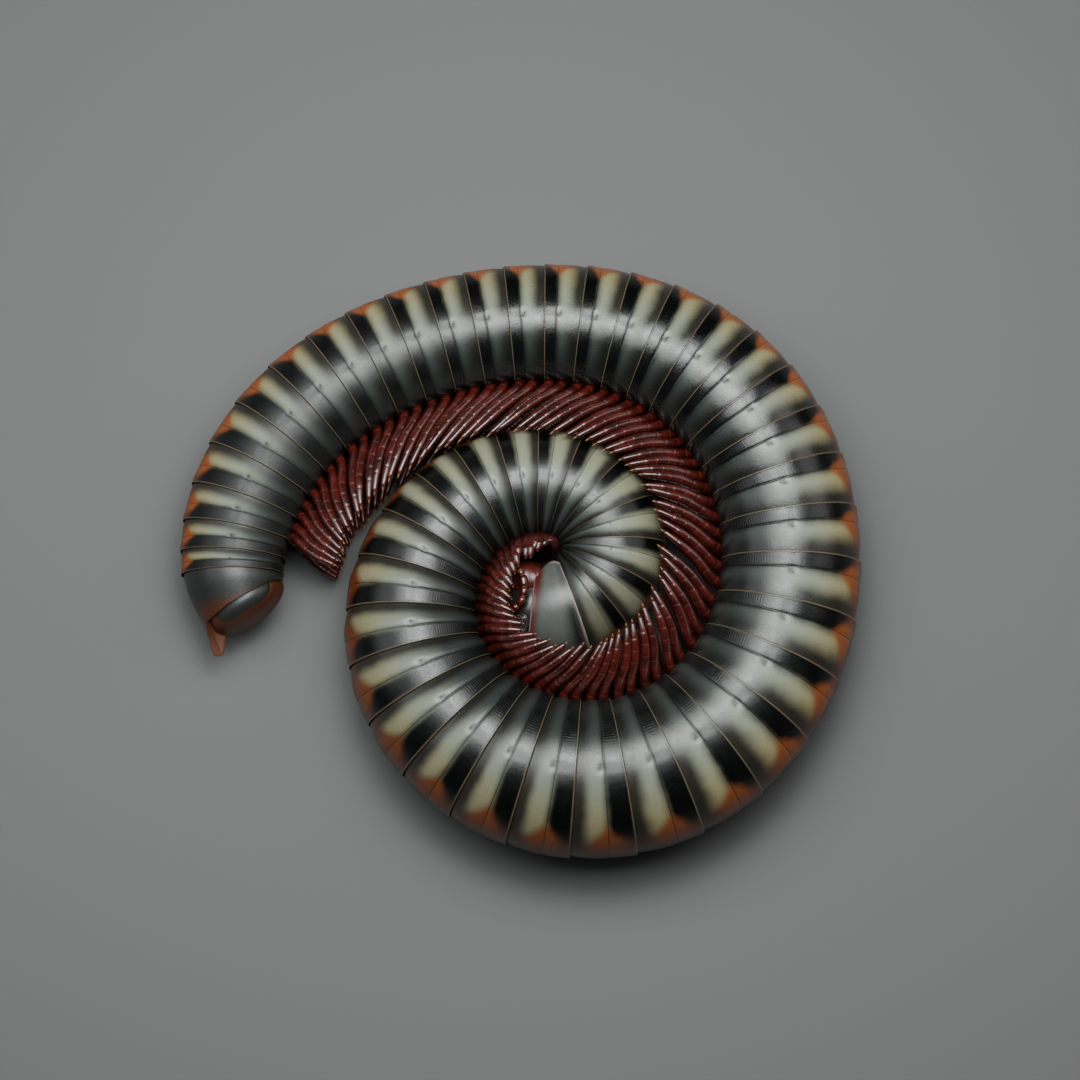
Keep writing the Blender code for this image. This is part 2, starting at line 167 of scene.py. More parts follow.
class Recipe:
    """A Geometry Nodes tree with named inputs, which ends in Realize Instances and Set Material."""

    def __init__(self, name: str) -> None:
        """Starts the tree.

        Args:
            name: the tree's name.
        """
        self.tree = bpy.data.node_groups.new(name, "GeometryNodeTree")
        sockets = self.tree.interface
        sockets.new_socket("Geometry", in_out="INPUT", socket_type="NodeSocketGeometry")
        sockets.new_socket("Geometry", in_out="OUTPUT", socket_type="NodeSocketGeometry")
        self.entry = self.tree.nodes.new("NodeGroupInput")
        self.names: dict[str, str] = {}

    @property
    def geometry(self) -> Wire:
        """The geometry that comes in."""
        return Wire(self.tree, self.entry.outputs[0])

    def input(self, name: str, kind: str = "Float") -> Wire:
        """Adds a named input.

        Args:
            name: the input's name.
            kind: the kind of its socket, such as Float, Int, Object or Material.

        Returns:
            The input's value in the tree.
        """
        made = self.tree.interface.new_socket(name, in_out="INPUT", socket_type=f"NodeSocket{kind}")
        self.names[name] = made.identifier
        return Wire(self.tree, self.entry.outputs[name])

    def node(self, kind: str, inputs: dict[str, object] | None = None, **settings: object) -> Wire:
        """Adds a node.

        Args:
            kind: the node's type.
            inputs: values or wires for its inputs, by name.
            settings: its other settings.

        Returns:
            Its first output.
        """
        node = self.tree.nodes.new(kind)
        for key, value in settings.items():
            setattr(node, key, value)
        for key, value in (inputs or {}).items():
            plug(self.tree, value, node.inputs[key])
        shown = next(output for output in node.outputs if output.enabled)
        return Wire(self.tree, shown)

    def attribute(self, name: str) -> Wire:
        """The number that a named attribute holds."""
        return self.node("GeometryNodeInputNamedAttribute", {"Name": name}, data_type="FLOAT")

    def finish(self, geometry: Wire) -> None:
        """Smooths and realizes a geometry, gives it the Material input and sends it out.

        Args:
            geometry: the result.
        """
        smooth = self.node("GeometryNodeSetShadeSmooth", {"Geometry": geometry})
        real = self.node("GeometryNodeRealizeInstances", {"Geometry": smooth})
        finish = self.input("Material", "Material")
        dressed = self.node("GeometryNodeSetMaterial", {"Geometry": real, "Material": finish})
        out = self.tree.nodes.new("NodeGroupOutput")
        plug(self.tree, dressed, out.inputs[0])

    def run(self, made: bpy.types.Object, **values: object) -> bpy.types.Object:
        """Runs the tree on an object and keeps the result as its plain mesh.

        Args:
            made: the object whose mesh goes in.
            values: the inputs, by name.

        Returns:
            The same object.
        """
        modifier = made.modifiers.new(self.tree.name, "NODES")
        modifier.node_group = self.tree
        for name, value in values.items():
            modifier[self.names[name]] = value
        return bake(made)


def bake(made: bpy.types.Object) -> bpy.types.Object:
    """Turns an object's evaluated form into its plain mesh, with its faces pointing out.

    Args:
        made: an object with modifiers.

    Returns:
        The same object, with no modifiers.
    """
    graph = bpy.context.evaluated_depsgraph_get()
    result = bpy.data.meshes.new_from_object(made.evaluated_get(graph))
    made.modifiers.clear()
    old = made.data
    made.data = result
    result.name = made.name
    bpy.data.meshes.remove(old)
    point_out(result)
    return made


def point_out(mesh: bpy.types.Mesh) -> None:
    """Turns a closed mesh's faces round if they point in.

    Args:
        mesh: the closed mesh.
    """
    mesh.calc_loop_triangles()
    places = np.empty(len(mesh.vertices) * 3)
    mesh.vertices.foreach_get("co", places)
    corners = np.empty(len(mesh.loop_triangles) * 3, np.int32)
    mesh.loop_triangles.foreach_get("vertices", corners)
    sides = places.reshape(-1, 3)[corners].reshape(-1, 3, 3)
    if np.einsum("ij,ij->i", sides[:, 0], np.cross(sides[:, 1], sides[:, 2])).sum() < 0:
        mesh.flip_normals()


def new_object(name: str, points: Array, faces: Sequence[Array], finish: bpy.types.Material | None = None,
               attributes: dict[str, Array] | None = None, edges: Array | None = None) -> bpy.types.Object:
    """A mesh object from points in millimetres.

    Args:
        name: the object's name.
        points: its points, one row each.
        faces: arrays of faces, each with one row a face and one column a corner.
        finish: its material.
        attributes: numbers kept at its points, by name.
        edges: loose edges, where there are no faces.

    Returns:
        The object, linked to the scene.
    """
    mesh = bpy.data.meshes.new(name)
    mesh.vertices.add(len(points))
    mesh.vertices.foreach_set("co", (np.asarray(points, float) * MM).ravel())
    if edges is not None:
        mesh.edges.add(len(edges))
        mesh.edges.foreach_set("vertices", np.asarray(edges, np.int32).ravel())
    if faces:
        loops = np.concatenate([part.ravel() for part in faces]).astype(np.int32)
        sizes = np.concatenate([np.full(len(part), part.shape[1]) for part in faces])
        mesh.loops.add(len(loops))
        mesh.loops.foreach_set("vertex_index", loops)
        mesh.polygons.add(len(sizes))
        mesh.polygons.foreach_set("loop_start", np.concatenate([[0], np.cumsum(sizes)[:-1]]).astype(np.int32))
        mesh.polygons.foreach_set("use_smooth", np.ones(len(sizes), bool))
    mesh.update(calc_edges=edges is None)
    for key, values in (attributes or {}).items():
        values = np.asarray(values, np.float32)
        kind = "FLOAT_VECTOR" if values.ndim == 2 else "FLOAT"
        stored = mesh.attributes.new(key, kind, "POINT")
        stored.data.foreach_set("vector" if values.ndim == 2 else "value", values.ravel())
    if finish is not None:
        mesh.materials.append(finish)
    made = bpy.data.objects.new(name, mesh)
    bpy.context.scene.collection.objects.link(made)
    return made


def grid_faces(rows: int, columns: int, closed: bool = True) -> Array:
    """The square faces of a grid of points, row by row.

    Args:
        rows: the number of rows.
        columns: the number of points in a row.
        closed: whether each row runs round to its start.

    Returns:
        One face a row.
    """
    across = columns if closed else columns - 1
    row, column = np.meshgrid(np.arange(rows - 1), np.arange(across), indexing="ij")
    after = (column + 1) % columns
    a = row * columns + column
    b = row * columns + after
    return np.stack([a, b, b + columns, a + columns], -1).reshape(-1, 4)


def fan_faces(start: int, columns: int, tip: int, turned: bool = False) -> Array:
    """The three-sided faces that close a row of points to one more point.

    Args:
        start: the row's first point.
        columns: the number of points in the row.
        tip: the point that they close to.
        turned: whether the faces run the other way round.

    Returns:
        One face a row.
    """
    here = start + np.arange(columns)
    after = start + (np.arange(columns) + 1) % columns
    pair = (after, here) if turned else (here, after)
    return np.stack([*pair, np.full(columns, tip)], -1)


def spline(knots: Sequence[float], values: Array, at: Array) -> Array:
    """The natural cubic curve through values at knots.

    Args:
        knots: where the values stand, rising.
        values: the values, one row a knot.
        at: where to read the curve.

    Returns:
        The curve's values, one row for each of at.
    """
    knots = np.asarray(knots, float)
    values = np.asarray(values, float)
    flat = values.reshape(len(knots), -1)
    steps = np.diff(knots)
    slopes = np.diff(flat, axis=0) / steps[:, None]
    matrix = np.eye(len(knots))
    right = np.zeros_like(flat)
    for i in range(1, len(knots) - 1):
        matrix[i, i - 1 : i + 2] = (steps[i - 1], 2 * (steps[i - 1] + steps[i]), steps[i])
        right[i] = 6 * (slopes[i] - slopes[i - 1])
    bends = np.linalg.solve(matrix, right)
    at = np.atleast_1d(np.asarray(at, float))
    i = np.clip(np.searchsorted(knots, at, side="right") - 1, 0, len(knots) - 2)
    t = (at - knots[i])[:, None]
    step = steps[i][:, None]
    slope = slopes[i] - step * (2 * bends[i] + bends[i + 1]) / 6
    cubic = (bends[i + 1] - bends[i]) / (6 * step)
    read = flat[i] + t * slope + t * t * bends[i] / 2 + t**3 * cubic
    return read.reshape((len(at), *values.shape[1:]))


def step(value: Array, low: float, high: float) -> Array:
    """A soft step from 0 at low to 1 at high."""
    t = np.clip((value - low) / (high - low), 0, 1)
    return t * t * (3 - 2 * t)


class Station(NamedTuple):
    """What a ring measures at one place along the body."""

    ring: int
    length: float
    turn: float
    girth: float


@dataclass
class BodyPlan:
    """The centreline of the coil and the sizes of its rings."""

    start: tuple[float, float] = (3.264, -2.7035)
    start_heading: float = 20.5
    stations: tuple[Station, ...] = (
        Station(1, 1.52, 20.6, 6.75),
        Station(5, 1.60, 24.8, 7.05),
        Station(9, 1.82, 16.1, 7.20),
        Station(12, 2.12, 14.0, 7.85),
        Station(15, 2.52, 15.7, 8.70),
        Station(19, 2.73, 13.7, 9.90),
        Station(23, 3.10, 14.8, 9.80),
        Station(27, 2.94, 10.4, 9.05),
        Station(31, 2.42, 10.0, 8.90),
        Station(36, 2.28, 7.7, 8.00),
        Station(41, 2.26, 5.3, 7.75),
        Station(46, 2.40, 9.5, 7.45),
        Station(50, 1.15, 5.1, 6.60),
    )
    last_ring: int = 50
    length_ends: tuple[int, ...] = (8, 13, 17, 21, 25, 29, 33, 37, 41, 45, 50)
    collum_length: float = 1.9
    collum_turn: float = 20.0
    belly_share: float = 0.95
    belly_from_pivot: float = 0.25

    length: Array = field(init=False)
    turn: Array = field(init=False)
    radius: Array = field(init=False)
    belly: Array = field(init=False)
    place: Array = field(init=False)
    heading: Array = field(init=False)

    def __post_init__(self) -> None:
        """Works out each ring's sizes and where it starts; index 0 stands unused or for s = 0."""
        rings = np.arange(self.last_ring + 1)
        knots = [station.ring for station in self.stations]
        sizes = spline(knots, np.array([station[1:] for station in self.stations]), np.maximum(rings, 1))
        self.length = sizes[:, 0]
        self.turn = np.radians(sizes[:, 1])
        self.radius = sizes[:, 2] / 2
        self.length[1] = self.collum_length
        self.turn[1] = math.radians(self.collum_turn)
        bend = self.length / self.turn
        self.belly = np.minimum(self.belly_share * self.radius, bend - self.belly_from_pivot)
        first = math.radians(self.start_heading) - self.turn[1]
        self.heading = first + np.concatenate([[0.0], np.cumsum(self.turn[1:])])
        after = self.heading[1:]
        before = self.heading[:-1]
        turned = np.stack([np.sin(after) - np.sin(before), np.cos(before) - np.cos(after)], -1)
        walked = np.concatenate([np.zeros((1, 2)), np.cumsum(bend[1:, None] * turned, 0)])
        self.place = np.array(self.start) + walked - walked[1]

    def ring_at(self, s: float) -> int:
        """The number of the ring that a place along the body is on."""
        return min(max(math.ceil(s), 1), self.last_ring)

    def pose(self, s: Array) -> tuple[Array, Array]:
        """The centreline's places and headings.

        Args:
            s: how far along the body.

        Returns:
            The places, one row each, and the headings in radians.
        """
        s = np.atleast_1d(np.asarray(s, float))
        ring = np.clip(np.ceil(s - 1e-9), 1, self.last_ring).astype(int)
        before = self.heading[ring - 1]
        after = before + self.turn[ring] * (s - ring + 1)
        bend = self.length[ring] / self.turn[ring]
        walked = np.stack([np.sin(after) - np.sin(before), np.cos(before) - np.cos(after)], -1)
        return self.place[ring - 1] + bend[:, None] * walked, after

    def point(self, s: Array, d: Array, z: Array) -> Array:
        """Points of the animal in the world.

        Args:
            s: how far along the body.
            d: how far towards its back from the centreline.
            z: how high above the floor.

        Returns:
            One point a row.
        """
        place, heading = self.pose(s)
        back = np.stack([np.sin(heading), -np.cos(heading)], -1)
        flat = place + np.asarray(d).reshape(-1, 1) * back
        return np.column_stack([flat, np.broadcast_to(z, len(flat))])

    def room(self, points: Array, ring: int, apart: int) -> Array:
        """How far points lie from the nearest whorl that isn't close by along the body.

        Args:
            points: the points, one row each.
            ring: the ring that they belong to.
            apart: how many rings on either side of it are left out.

        Returns:
            One distance a point.
        """
        others = np.array([k for k in range(1, self.last_ring + 1) if abs(k - ring) >= apart])
        nearest = np.full(len(points), 1000.0)
        for share in (0.25, 0.75):
            places, _ = self.pose(others - share)
            across = np.linalg.norm(points[:, None, :2] - places[None], axis=2)
            radius = self.radius[others][None]
            away = np.hypot(across, points[:, 2:3] - radius) - radius
            nearest = np.minimum(nearest, away.min(1))
        return nearest


class Paint:
    """A material's node tree, with short ways to add what the finishes need."""

    def __init__(self, name: str) -> None:
        """Starts the material.

        Args:
            name: its name.
        """
        self.material = bpy.data.materials.new(name)
        self.material.use_nodes = True
        self.tree = self.material.node_tree
        self.shader = self.tree.nodes["Principled BSDF"]
        self.space = self.tree.nodes.new("ShaderNodeTexCoord")

    def add(self, kind: str, output: str | int, inputs: dict[str | int, object], **settings: object) -> Wire:
        """Adds a node.

        Args:
            kind: the node's type.
            output: the output that is wanted.
            inputs: values or wires for its inputs, by name or number.
            settings: its other settings.

        Returns:
            The output.
        """
        node = self.tree.nodes.new(kind)
        for key, value in settings.items():
            setattr(node, key, value)
        for key, value in inputs.items():
            plug(self.tree, value, node.inputs[key])
        return Wire(self.tree, node.outputs[output])

    def attribute(self, name: str) -> Wire:
        """A number kept at the mesh's points."""
        return self.add("ShaderNodeAttribute", "Fac", {}, attribute_name=name)

    def where(self) -> Wire:
        """The place on the object, in metres."""
        return Wire(self.tree, self.space.outputs["Object"])

    def noise(self, size: float, seed: float, detail: float = 3.0) -> Wire:
        """Soft noise about 0.5.

        Args:
            size: the size of its blots in millimetres.
            seed: a number that sets the pattern.
            detail: how many finer layers it has.

        Returns:
            The noise.
        """
        inputs = {"Vector": self.where(), "W": seed, "Scale": 1.0 / (size * MM), "Detail": detail}
        return self.add("ShaderNodeTexNoise", "Fac", inputs, noise_dimensions="4D")

    def cells(self, size: float) -> Wire:
        """The distance to the middle of scattered cells, as a share of their size in millimetres."""
        inputs = {"Vector": self.where(), "Scale": 1.0 / (size * MM)}
        return self.add("ShaderNodeTexVoronoi", "Distance", inputs)

    def mix(self, share: Wire | float, first: "Wire | Colour", second: "Wire | Colour") -> Wire:
        """A colour between two.

        Args:
            share: how much of the second.
            first: a colour.
            second: another.

        Returns:
            The colour.
        """
        inputs = {0: share, 6: first, 7: second}
        return self.add("ShaderNodeMix", 2, inputs, data_type="RGBA")

    def set(self, colour: "Wire | Colour", roughness: "Wire | float", ior: float = 1.55) -> None:
        """Sets the surface.

        Args:
            colour: its base colour.
            roughness: its roughness.
            ior: its index of refraction.
        """
        plug(self.tree, colour, self.shader.inputs["Base Color"])
        plug(self.tree, roughness, self.shader.inputs["Roughness"])
        self.shader.inputs["IOR"].default_value = ior

    def varnish(self, weight: float, roughness: float) -> None:
        """Adds a clear coat.

        Args:
            weight: how much of it there is.
            roughness: its roughness.
        """
        self.shader.inputs["Coat Weight"].default_value = weight
        self.shader.inputs["Coat Roughness"].default_value = roughness

    def bump(self, height: Wire, depth: float) -> None:
        """Raises the surface by a height of 0 to 1.

        Args:
            height: the height.
            depth: how much 1 is, in millimetres.
        """
        normal = self.add("ShaderNodeBump", "Normal", {"Height": height, "Distance": depth * MM})
        plug(self.tree, normal, self.shader.inputs["Normal"])


@dataclass(frozen=True)
class ShellFinish:
    """The banded horn of the rings: dark fronts, cream bands, black rears and the red back stripe, with
    painted shade on the lower flanks and on the cream of some rings.
    """

    front: Colour = (0.022, 0.019, 0.015)
    # Darker front colour on the lower flank: painted shade, where the flank turns away from the light.
    front_flank_shade: Colour = (0.0095, 0.0095, 0.0085)
    cream: Colour = (0.215, 0.230, 0.175)
    warm: Colour = (0.33, 0.27, 0.130)
    # The cream's grey on the lower flank: partly the horn's own grey, partly painted shade.
    flank: Colour = (0.034, 0.041, 0.038)
    rear: Colour = (0.0014, 0.0015, 0.0016)
    rear_flank: Colour = (0.0024, 0.0030, 0.0032)
    orange: Colour = (0.290, 0.070, 0.012)
    maroon: Colour = (0.050, 0.013, 0.006)
    rim: Colour = (0.13, 0.095, 0.055)
    belly: Colour = (0.040, 0.006, 0.005)
    suture: float = 0.578
    stripe: float = 0.165

    def material(self) -> bpy.types.Material:
        """Builds the material.

        Returns:
            The material, which reads the attributes along, flank, ring and pit.
        """
        paint = Paint("shell")
        along = paint.attribute("along")
        flank = paint.attribute("flank")
        ring = paint.attribute("ring")
        pit = paint.attribute("pit")
        drift = (paint.noise(1.6, 1.0) - 0.5) * 0.14
        place = along + drift
        fan = 1.0 - ring.smooth(7.0, 13.0)
        broad = ring.smooth(11.0, 15.0) * (1.0 - ring.smooth(20.0, 24.0))
        edge = self.suture - 0.03 + 0.11 * fan + 0.05 * broad
        full = 0.40 - 0.05 * fan - 0.07 * broad + 0.06 * flank.smooth(0.4, 0.8)
        pale = place.smooth(0.10, full) * (1.0 - place.smooth(edge - 0.15, edge + 0.09))
        far = ring.smooth(26.0, 31.0)
        inner = 1.0 - ring.smooth(11.0, 17.0)
        pale = pale * (0.45 + 0.55 * ring.smooth(2.0, 4.5))
        # Fades the cream on the lower flank: partly its own turn to grey, partly painted shade, stronger on
        # the rings from about 26 on.
        pale = pale * (1.0 - (0.45 + 0.35 * far) * flank.smooth(0.58, 0.86))
        # Painted shade: the cream of the rings from about 11 to 24 is made darker, as if they got less light.
        pale = pale * (1.0 - 0.22 * broad)
        # side marks the lower flank; there the fronts and the cream bands take painted shade, and the rears
        # their own lighter black.
        side = flank.smooth(0.40, 0.64)
        front = paint.mix(side, self.front, self.front_flank_shade)
        dark = paint.mix(along.smooth(0.35, 0.6), front, paint.mix(side, self.rear, self.rear_flank))
        cool = flank.smooth(0.18, 0.44).math("MAXIMUM", 0.75 * inner).math("MAXIMUM", 0.45 * broad)
        cream = paint.mix(cool, self.warm, self.cream)
        body = paint.mix(pale, dark, paint.mix(side, cream, self.flank))
        wedge = 1.0 - (place - 0.56).math("ABSOLUTE") * 2.6
        half = self.stripe - 0.045 * inner + 0.100 * wedge.smooth(0.0, 1.3) * (1.0 - 0.5 * inner)
        stripe = 1.0 - (flank + drift * 0.3).smooth(half - 0.045, half + 0.040)
        bright = place.smooth(0.10, 0.42) * flank.smooth(0.03, 0.11) * (1.0 - 0.65 * along.smooth(0.68, 0.92))
        back = paint.mix(bright * (0.40 + 0.60 * ring.smooth(15.0, 27.0)), self.maroon, self.orange)
        body = paint.mix(stripe, body, back)
        body = paint.mix(flank.smooth(0.915, 0.945), body, self.belly)
        pits = (1.0 - paint.cells(0.16).smooth(0.10, 0.26)) * pale * 0.40
        body = paint.mix(pits, body, self.front)
        body = paint.mix(along.band(self.suture, 0.003, 0.010) * 0.7, body, self.rear)
        body = paint.mix(pit.smooth(0.25, 0.8), body, self.rear)
        body = paint.mix(along.smooth(0.966, 0.980) * 0.75, body, self.rim)
        grain = paint.noise(0.12, 2.0, 4.0)
        blots = paint.noise(0.9, 3.0)
        worn = 1.0 - far
        dull = 0.07 * worn + 0.14 * ring.smooth(37.0, 43.0) + 0.10 * ring.smooth(43.0, 46.0)
        rough = 0.25 + dull + 0.06 * pale + 0.22 * (grain - 0.5) + 0.20 * (blots - 0.5)
        rear = along.smooth(0.55, 0.62) * (1.0 - along.smooth(0.90, 0.95))
        fine = (flank * (math.pi * 170.0)).math("SINE") * flank.band(0.76, 0.10, 0.08) * rear * worn
        dimples = paint.cells(0.11).smooth(0.0, 0.35)
        paint.set(body, rough)
        paint.bump(0.55 * grain + 0.25 * dimples + 0.30 * fine, 0.012)
        return paint.material


@dataclass(frozen=True)
class LimbFinish:
    """The dark red horn of legs and antennae, with pale joints and golden claws."""

    name: str = "limb"
    red: Colour = (0.068, 0.0075, 0.005)
    deep: Colour = (0.020, 0.0024, 0.002)
    joint: Colour = (0.24, 0.07, 0.04)
    claw: Colour = (0.22, 0.11, 0.04)

    def material(self) -> bpy.types.Material:
        """Builds the material.

        Returns:
            The material, which reads the attributes along and joint.
        """
        paint = Paint(self.name)
        along = paint.attribute("along")
        joint = paint.attribute("joint")
        blots = paint.noise(0.7, 5.0)
        grain = paint.noise(0.06, 6.0)
        body = paint.mix(blots.smooth(0.3, 0.75), self.red, self.deep)
        body = paint.mix(joint.smooth(0.80, 0.99) * 0.6, body, self.joint)
        body = paint.mix(along.smooth(0.945, 0.97), body, self.claw)
        paint.set(body, 0.22 + 0.16 * (grain - 0.3))
        paint.varnish(0.6, 0.14)
        paint.bump(grain, 0.004)
        return paint.material


@dataclass(frozen=True)
class PlateFinish:
    """Plain horn in two colours that meet along the piece, with a rim."""

    name: str
    body: Colour
    second: Colour
    rim: Colour
    change: tuple[float, float] = (0.3, 0.7)
    roughness: float = 0.30
    dark: Colour = (0.006, 0.006, 0.006)

    def material(self) -> bpy.types.Material:
        """Builds the material.

        Returns:
            The material, which reads the attributes tone, from body to second, rim, and band, to dark.
        """
        paint = Paint(self.name)
        tone = paint.attribute("tone")
        rim = paint.attribute("rim")
        blots = paint.noise(0.8, 7.0)
        grain = paint.noise(0.10, 8.0, 4.0)
        blend = (tone + (blots - 0.5) * 0.25).smooth(*self.change)
        colour = paint.mix(blend, self.body, self.second)
        shade = tuple(0.45 * part for part in self.body)
        colour = paint.mix(grain.smooth(0.55, 0.8) * 0.5 + blots.smooth(0.50, 0.80) * 0.45, colour, shade)
        colour = paint.mix(paint.attribute("band"), colour, self.dark)
        colour = paint.mix(rim.smooth(0.3, 0.8), colour, self.rim)
        paint.set(colour, self.roughness + 0.16 * (grain - 0.5))
        paint.bump(grain + 0.4 * paint.cells(0.13).smooth(0.0, 0.35), 0.010)
        return paint.material


@dataclass(frozen=True)
class LensFinish:
    """The black glassy lenses of the eyes."""

    black: Colour = (0.010, 0.009, 0.010)
    brown: Colour = (0.045, 0.018, 0.010)

    def material(self) -> bpy.types.Material:
        """Builds the material.

        Returns:
            The material.
        """
        paint = Paint("lens")
        colour = paint.mix(paint.noise(0.3, 9.0).smooth(0.35, 0.7), self.black, self.brown)
        paint.set(colour, 0.10)
        paint.varnish(0.5, 0.05)
        paint.bump(paint.noise(0.05, 10.0), 0.002)
        return paint.material


@dataclass
class Rings:
    """The trunk's rings, each a closed shell whose front slides into the ring ahead."""

    plan: BodyPlan
    # Share of the ring's length from its front margin, then the reach as a share of its radius.
    profile: tuple[tuple[float, float], ...] = (
        (-0.16, 0.950), (-0.05, 0.960), (0.0, 0.966), (0.04, 0.970), (0.09, 0.975), (0.16, 0.980),
        (0.24, 0.985), (0.32, 0.989), (0.39, 0.9915), (0.43, 0.9925), (0.455, 0.993), (0.48, 0.9935),
        (0.505, 0.9935), (0.53, 0.993), (0.555, 0.9915), (0.569, 0.988), (0.578, 0.986), (0.587, 0.988),
        (0.605, 0.9915), (0.64, 0.993), (0.71, 0.995), (0.79, 0.996), (0.87, 0.997), (0.93, 0.9975),
        (0.955, 0.998), (0.970, 1.0), (0.986, 1.0), (0.998, 0.997), (1.003, 0.991), (0.995, 0.984),
        (0.96, 0.979), (0.80, 0.970),
    )
    striae: tuple[float, float] = (100.0, 166.0)
    striae_pitch: float = 2.6
    striae_depth: float = 0.0012
    samples_in_pitch: int = 4
    plain_step: float = 3.0
    pore_angle: float = 90.0
    pore_at: float = 0.50
    pore_size: float = 0.17
    pore_depth: float = 0.10
    pore_groove: float = 0.045
    first_pore_ring: int = 6
    # The middling ring that the pores are laid out on.
    mean_radius: float = 4.3
    mean_length: float = 2.5
    # How many of the profile's last rows lie inside the shell.
    rows_inside: int = 4
    # How much further back the seam lies on the outer whorl's rings, as a share of their length.
    seam_shift: float = 0.08
    shifted: tuple[float, float] = (21.0, 45.0)
    clamp_softness: float = 0.14
    wobble: float = 0.035

    def angles(self) -> Array:
        """The angles round a ring from the middle of its back, in radians."""
        low, high = self.striae
        fine = np.arange(low, high, self.striae_pitch / self.samples_in_pitch)
        coarse = np.arange(0.0, low, self.plain_step)
        belly = np.linspace(high, 180.0, 5)
        half = np.concatenate([coarse, fine, belly])
        return np.radians(np.concatenate([half, -half[-2:0:-1]]))

    def pattern(self) -> bpy.types.Object:
        """One ring laid out as numbers: how far along, how far round and how far out each point is.

        Returns:
            An object that the tree repeats; its points' own places are not used.
        """
        rows = np.array(self.profile)
        angles = self.angles()
        along, angle = np.meshgrid(rows[:, 0], angles, indexing="ij")
        reach = np.repeat(rows[:, 1:], len(angles), 1)
        flank = np.abs(np.degrees(angle))
        low, high = self.striae
        zone = step(flank, low, low + 24) * (1 - step(flank, high - 4, high))
        outside = (np.arange(len(rows)) < len(rows) - self.rows_inside)[:, None]
        zone = zone * step(along, 0.60, 0.66) * (1 - step(along, 0.90, 0.95)) * outside
        reach = reach - self.striae_depth * zone * (0.5 + 0.5 * np.cos(2 * np.pi * flank / self.striae_pitch))
        across = np.radians(flank - self.pore_angle) * self.mean_radius
        from_pore = np.hypot(across, (along - self.pore_at) * self.mean_length)
        pit = np.exp(-((from_pore / self.pore_size) ** 2)) * outside
        groove = np.exp(-((across / self.pore_groove) ** 2))
        pit = pit + 0.22 * groove * step(along, 0.52, 0.6) * (1 - step(along, 0.90, 0.96)) * outside
        points = np.stack([along, angle, reach], -1).reshape(-1, 3)
        count = len(angles)
        ends = np.array([[rows[0, 0], 0.0, 0.0], [rows[-1, 0], 0.0, 0.0]])
        points = np.concatenate([points, ends])
        faces = [
            grid_faces(len(rows), count),
            fan_faces(0, count, len(points) - 2, turned=True),
            fan_faces((len(rows) - 1) * count, count, len(points) - 1),
        ]
        attributes = {
            "along": points[:, 0],
            "angle": points[:, 1],
            "flank": np.abs(points[:, 1]) / np.pi,
            "reach": points[:, 2],
            "pit": np.concatenate([pit.ravel(), [0.0, 0.0]]),
        }
        return new_object("ring_pattern", points, faces, attributes=attributes)

    def recipe(self) -> Recipe:
        """The tree that sets a ring at each point and bends it to the coil.

        Returns:
            The tree, which reads each point's sizes from its attributes.
        """
        recipe = Recipe("rings_on_coil")
        pattern = recipe.input("Pattern", "Object")
        pore_depth = recipe.input("Pore depth")
        softness = recipe.input("Belly softness")
        wobble = recipe.input("Wobble")
        shape = recipe.tree.nodes.new("GeometryNodeObjectInfo")
        plug(recipe.tree, pattern, shape.inputs["Object"])
        shape = Wire(recipe.tree, shape.outputs["Geometry"])
        rings = recipe.node("GeometryNodeInstanceOnPoints", {"Points": recipe.geometry, "Instance": shape})
        rings = recipe.node("GeometryNodeRealizeInstances", {"Geometry": rings})
        along = recipe.attribute("along")
        angle = recipe.attribute("angle")
        ahead = recipe.attribute("radius_ahead")
        belly_ahead = recipe.attribute("belly_ahead")
        blend = along.smooth(-0.1, 0.5)
        radius = ahead + (recipe.attribute("radius") - ahead) * blend
        belly = belly_ahead + (recipe.attribute("belly") - belly_ahead) * blend
        seed = recipe.attribute("ring")
        cosine = angle.math("COSINE")
        sine = angle.math("SINE")
        turn = recipe.node("ShaderNodeCombineXYZ", {"X": along, "Y": cosine, "Z": sine})
        waves = {"Vector": turn, "W": seed, "Scale": 2.2, "Detail": 1.0}
        noise = recipe.node("ShaderNodeTexNoise", waves, noise_dimensions="4D")
        share = recipe.attribute("reach")
        reach = radius * share - pore_depth * recipe.attribute("pit") * recipe.attribute("pored")
        reach = reach - wobble * noise * share.smooth(0.0, 0.9)
        out = reach * cosine
        belly = belly * share
        gap = out + belly
        lifted = (gap * gap + softness * softness).math("SQRT")
        out = (out - belly + lifted) * 0.5
        height = radius + reach * sine
        shift = recipe.attribute("seam_shift") * along.smooth(0.0, 0.5) * (1.0 - along.smooth(0.66, 0.96))
        before = recipe.attribute("heading")
        after = before + recipe.attribute("turn") * (along + shift)
        bend = recipe.attribute("bend")
        front_x = recipe.attribute("front_x")
        front_y = recipe.attribute("front_y")
        x = front_x + bend * (after.math("SINE") - before.math("SINE")) + out * after.math("SINE")
        y = front_y + bend * (before.math("COSINE") - after.math("COSINE")) - out * after.math("COSINE")
        place = recipe.node("ShaderNodeCombineXYZ", {"X": x, "Y": y, "Z": height})
        bent = recipe.node("GeometryNodeSetPosition", {"Geometry": rings, "Position": place})
        recipe.finish(bent)
        return recipe

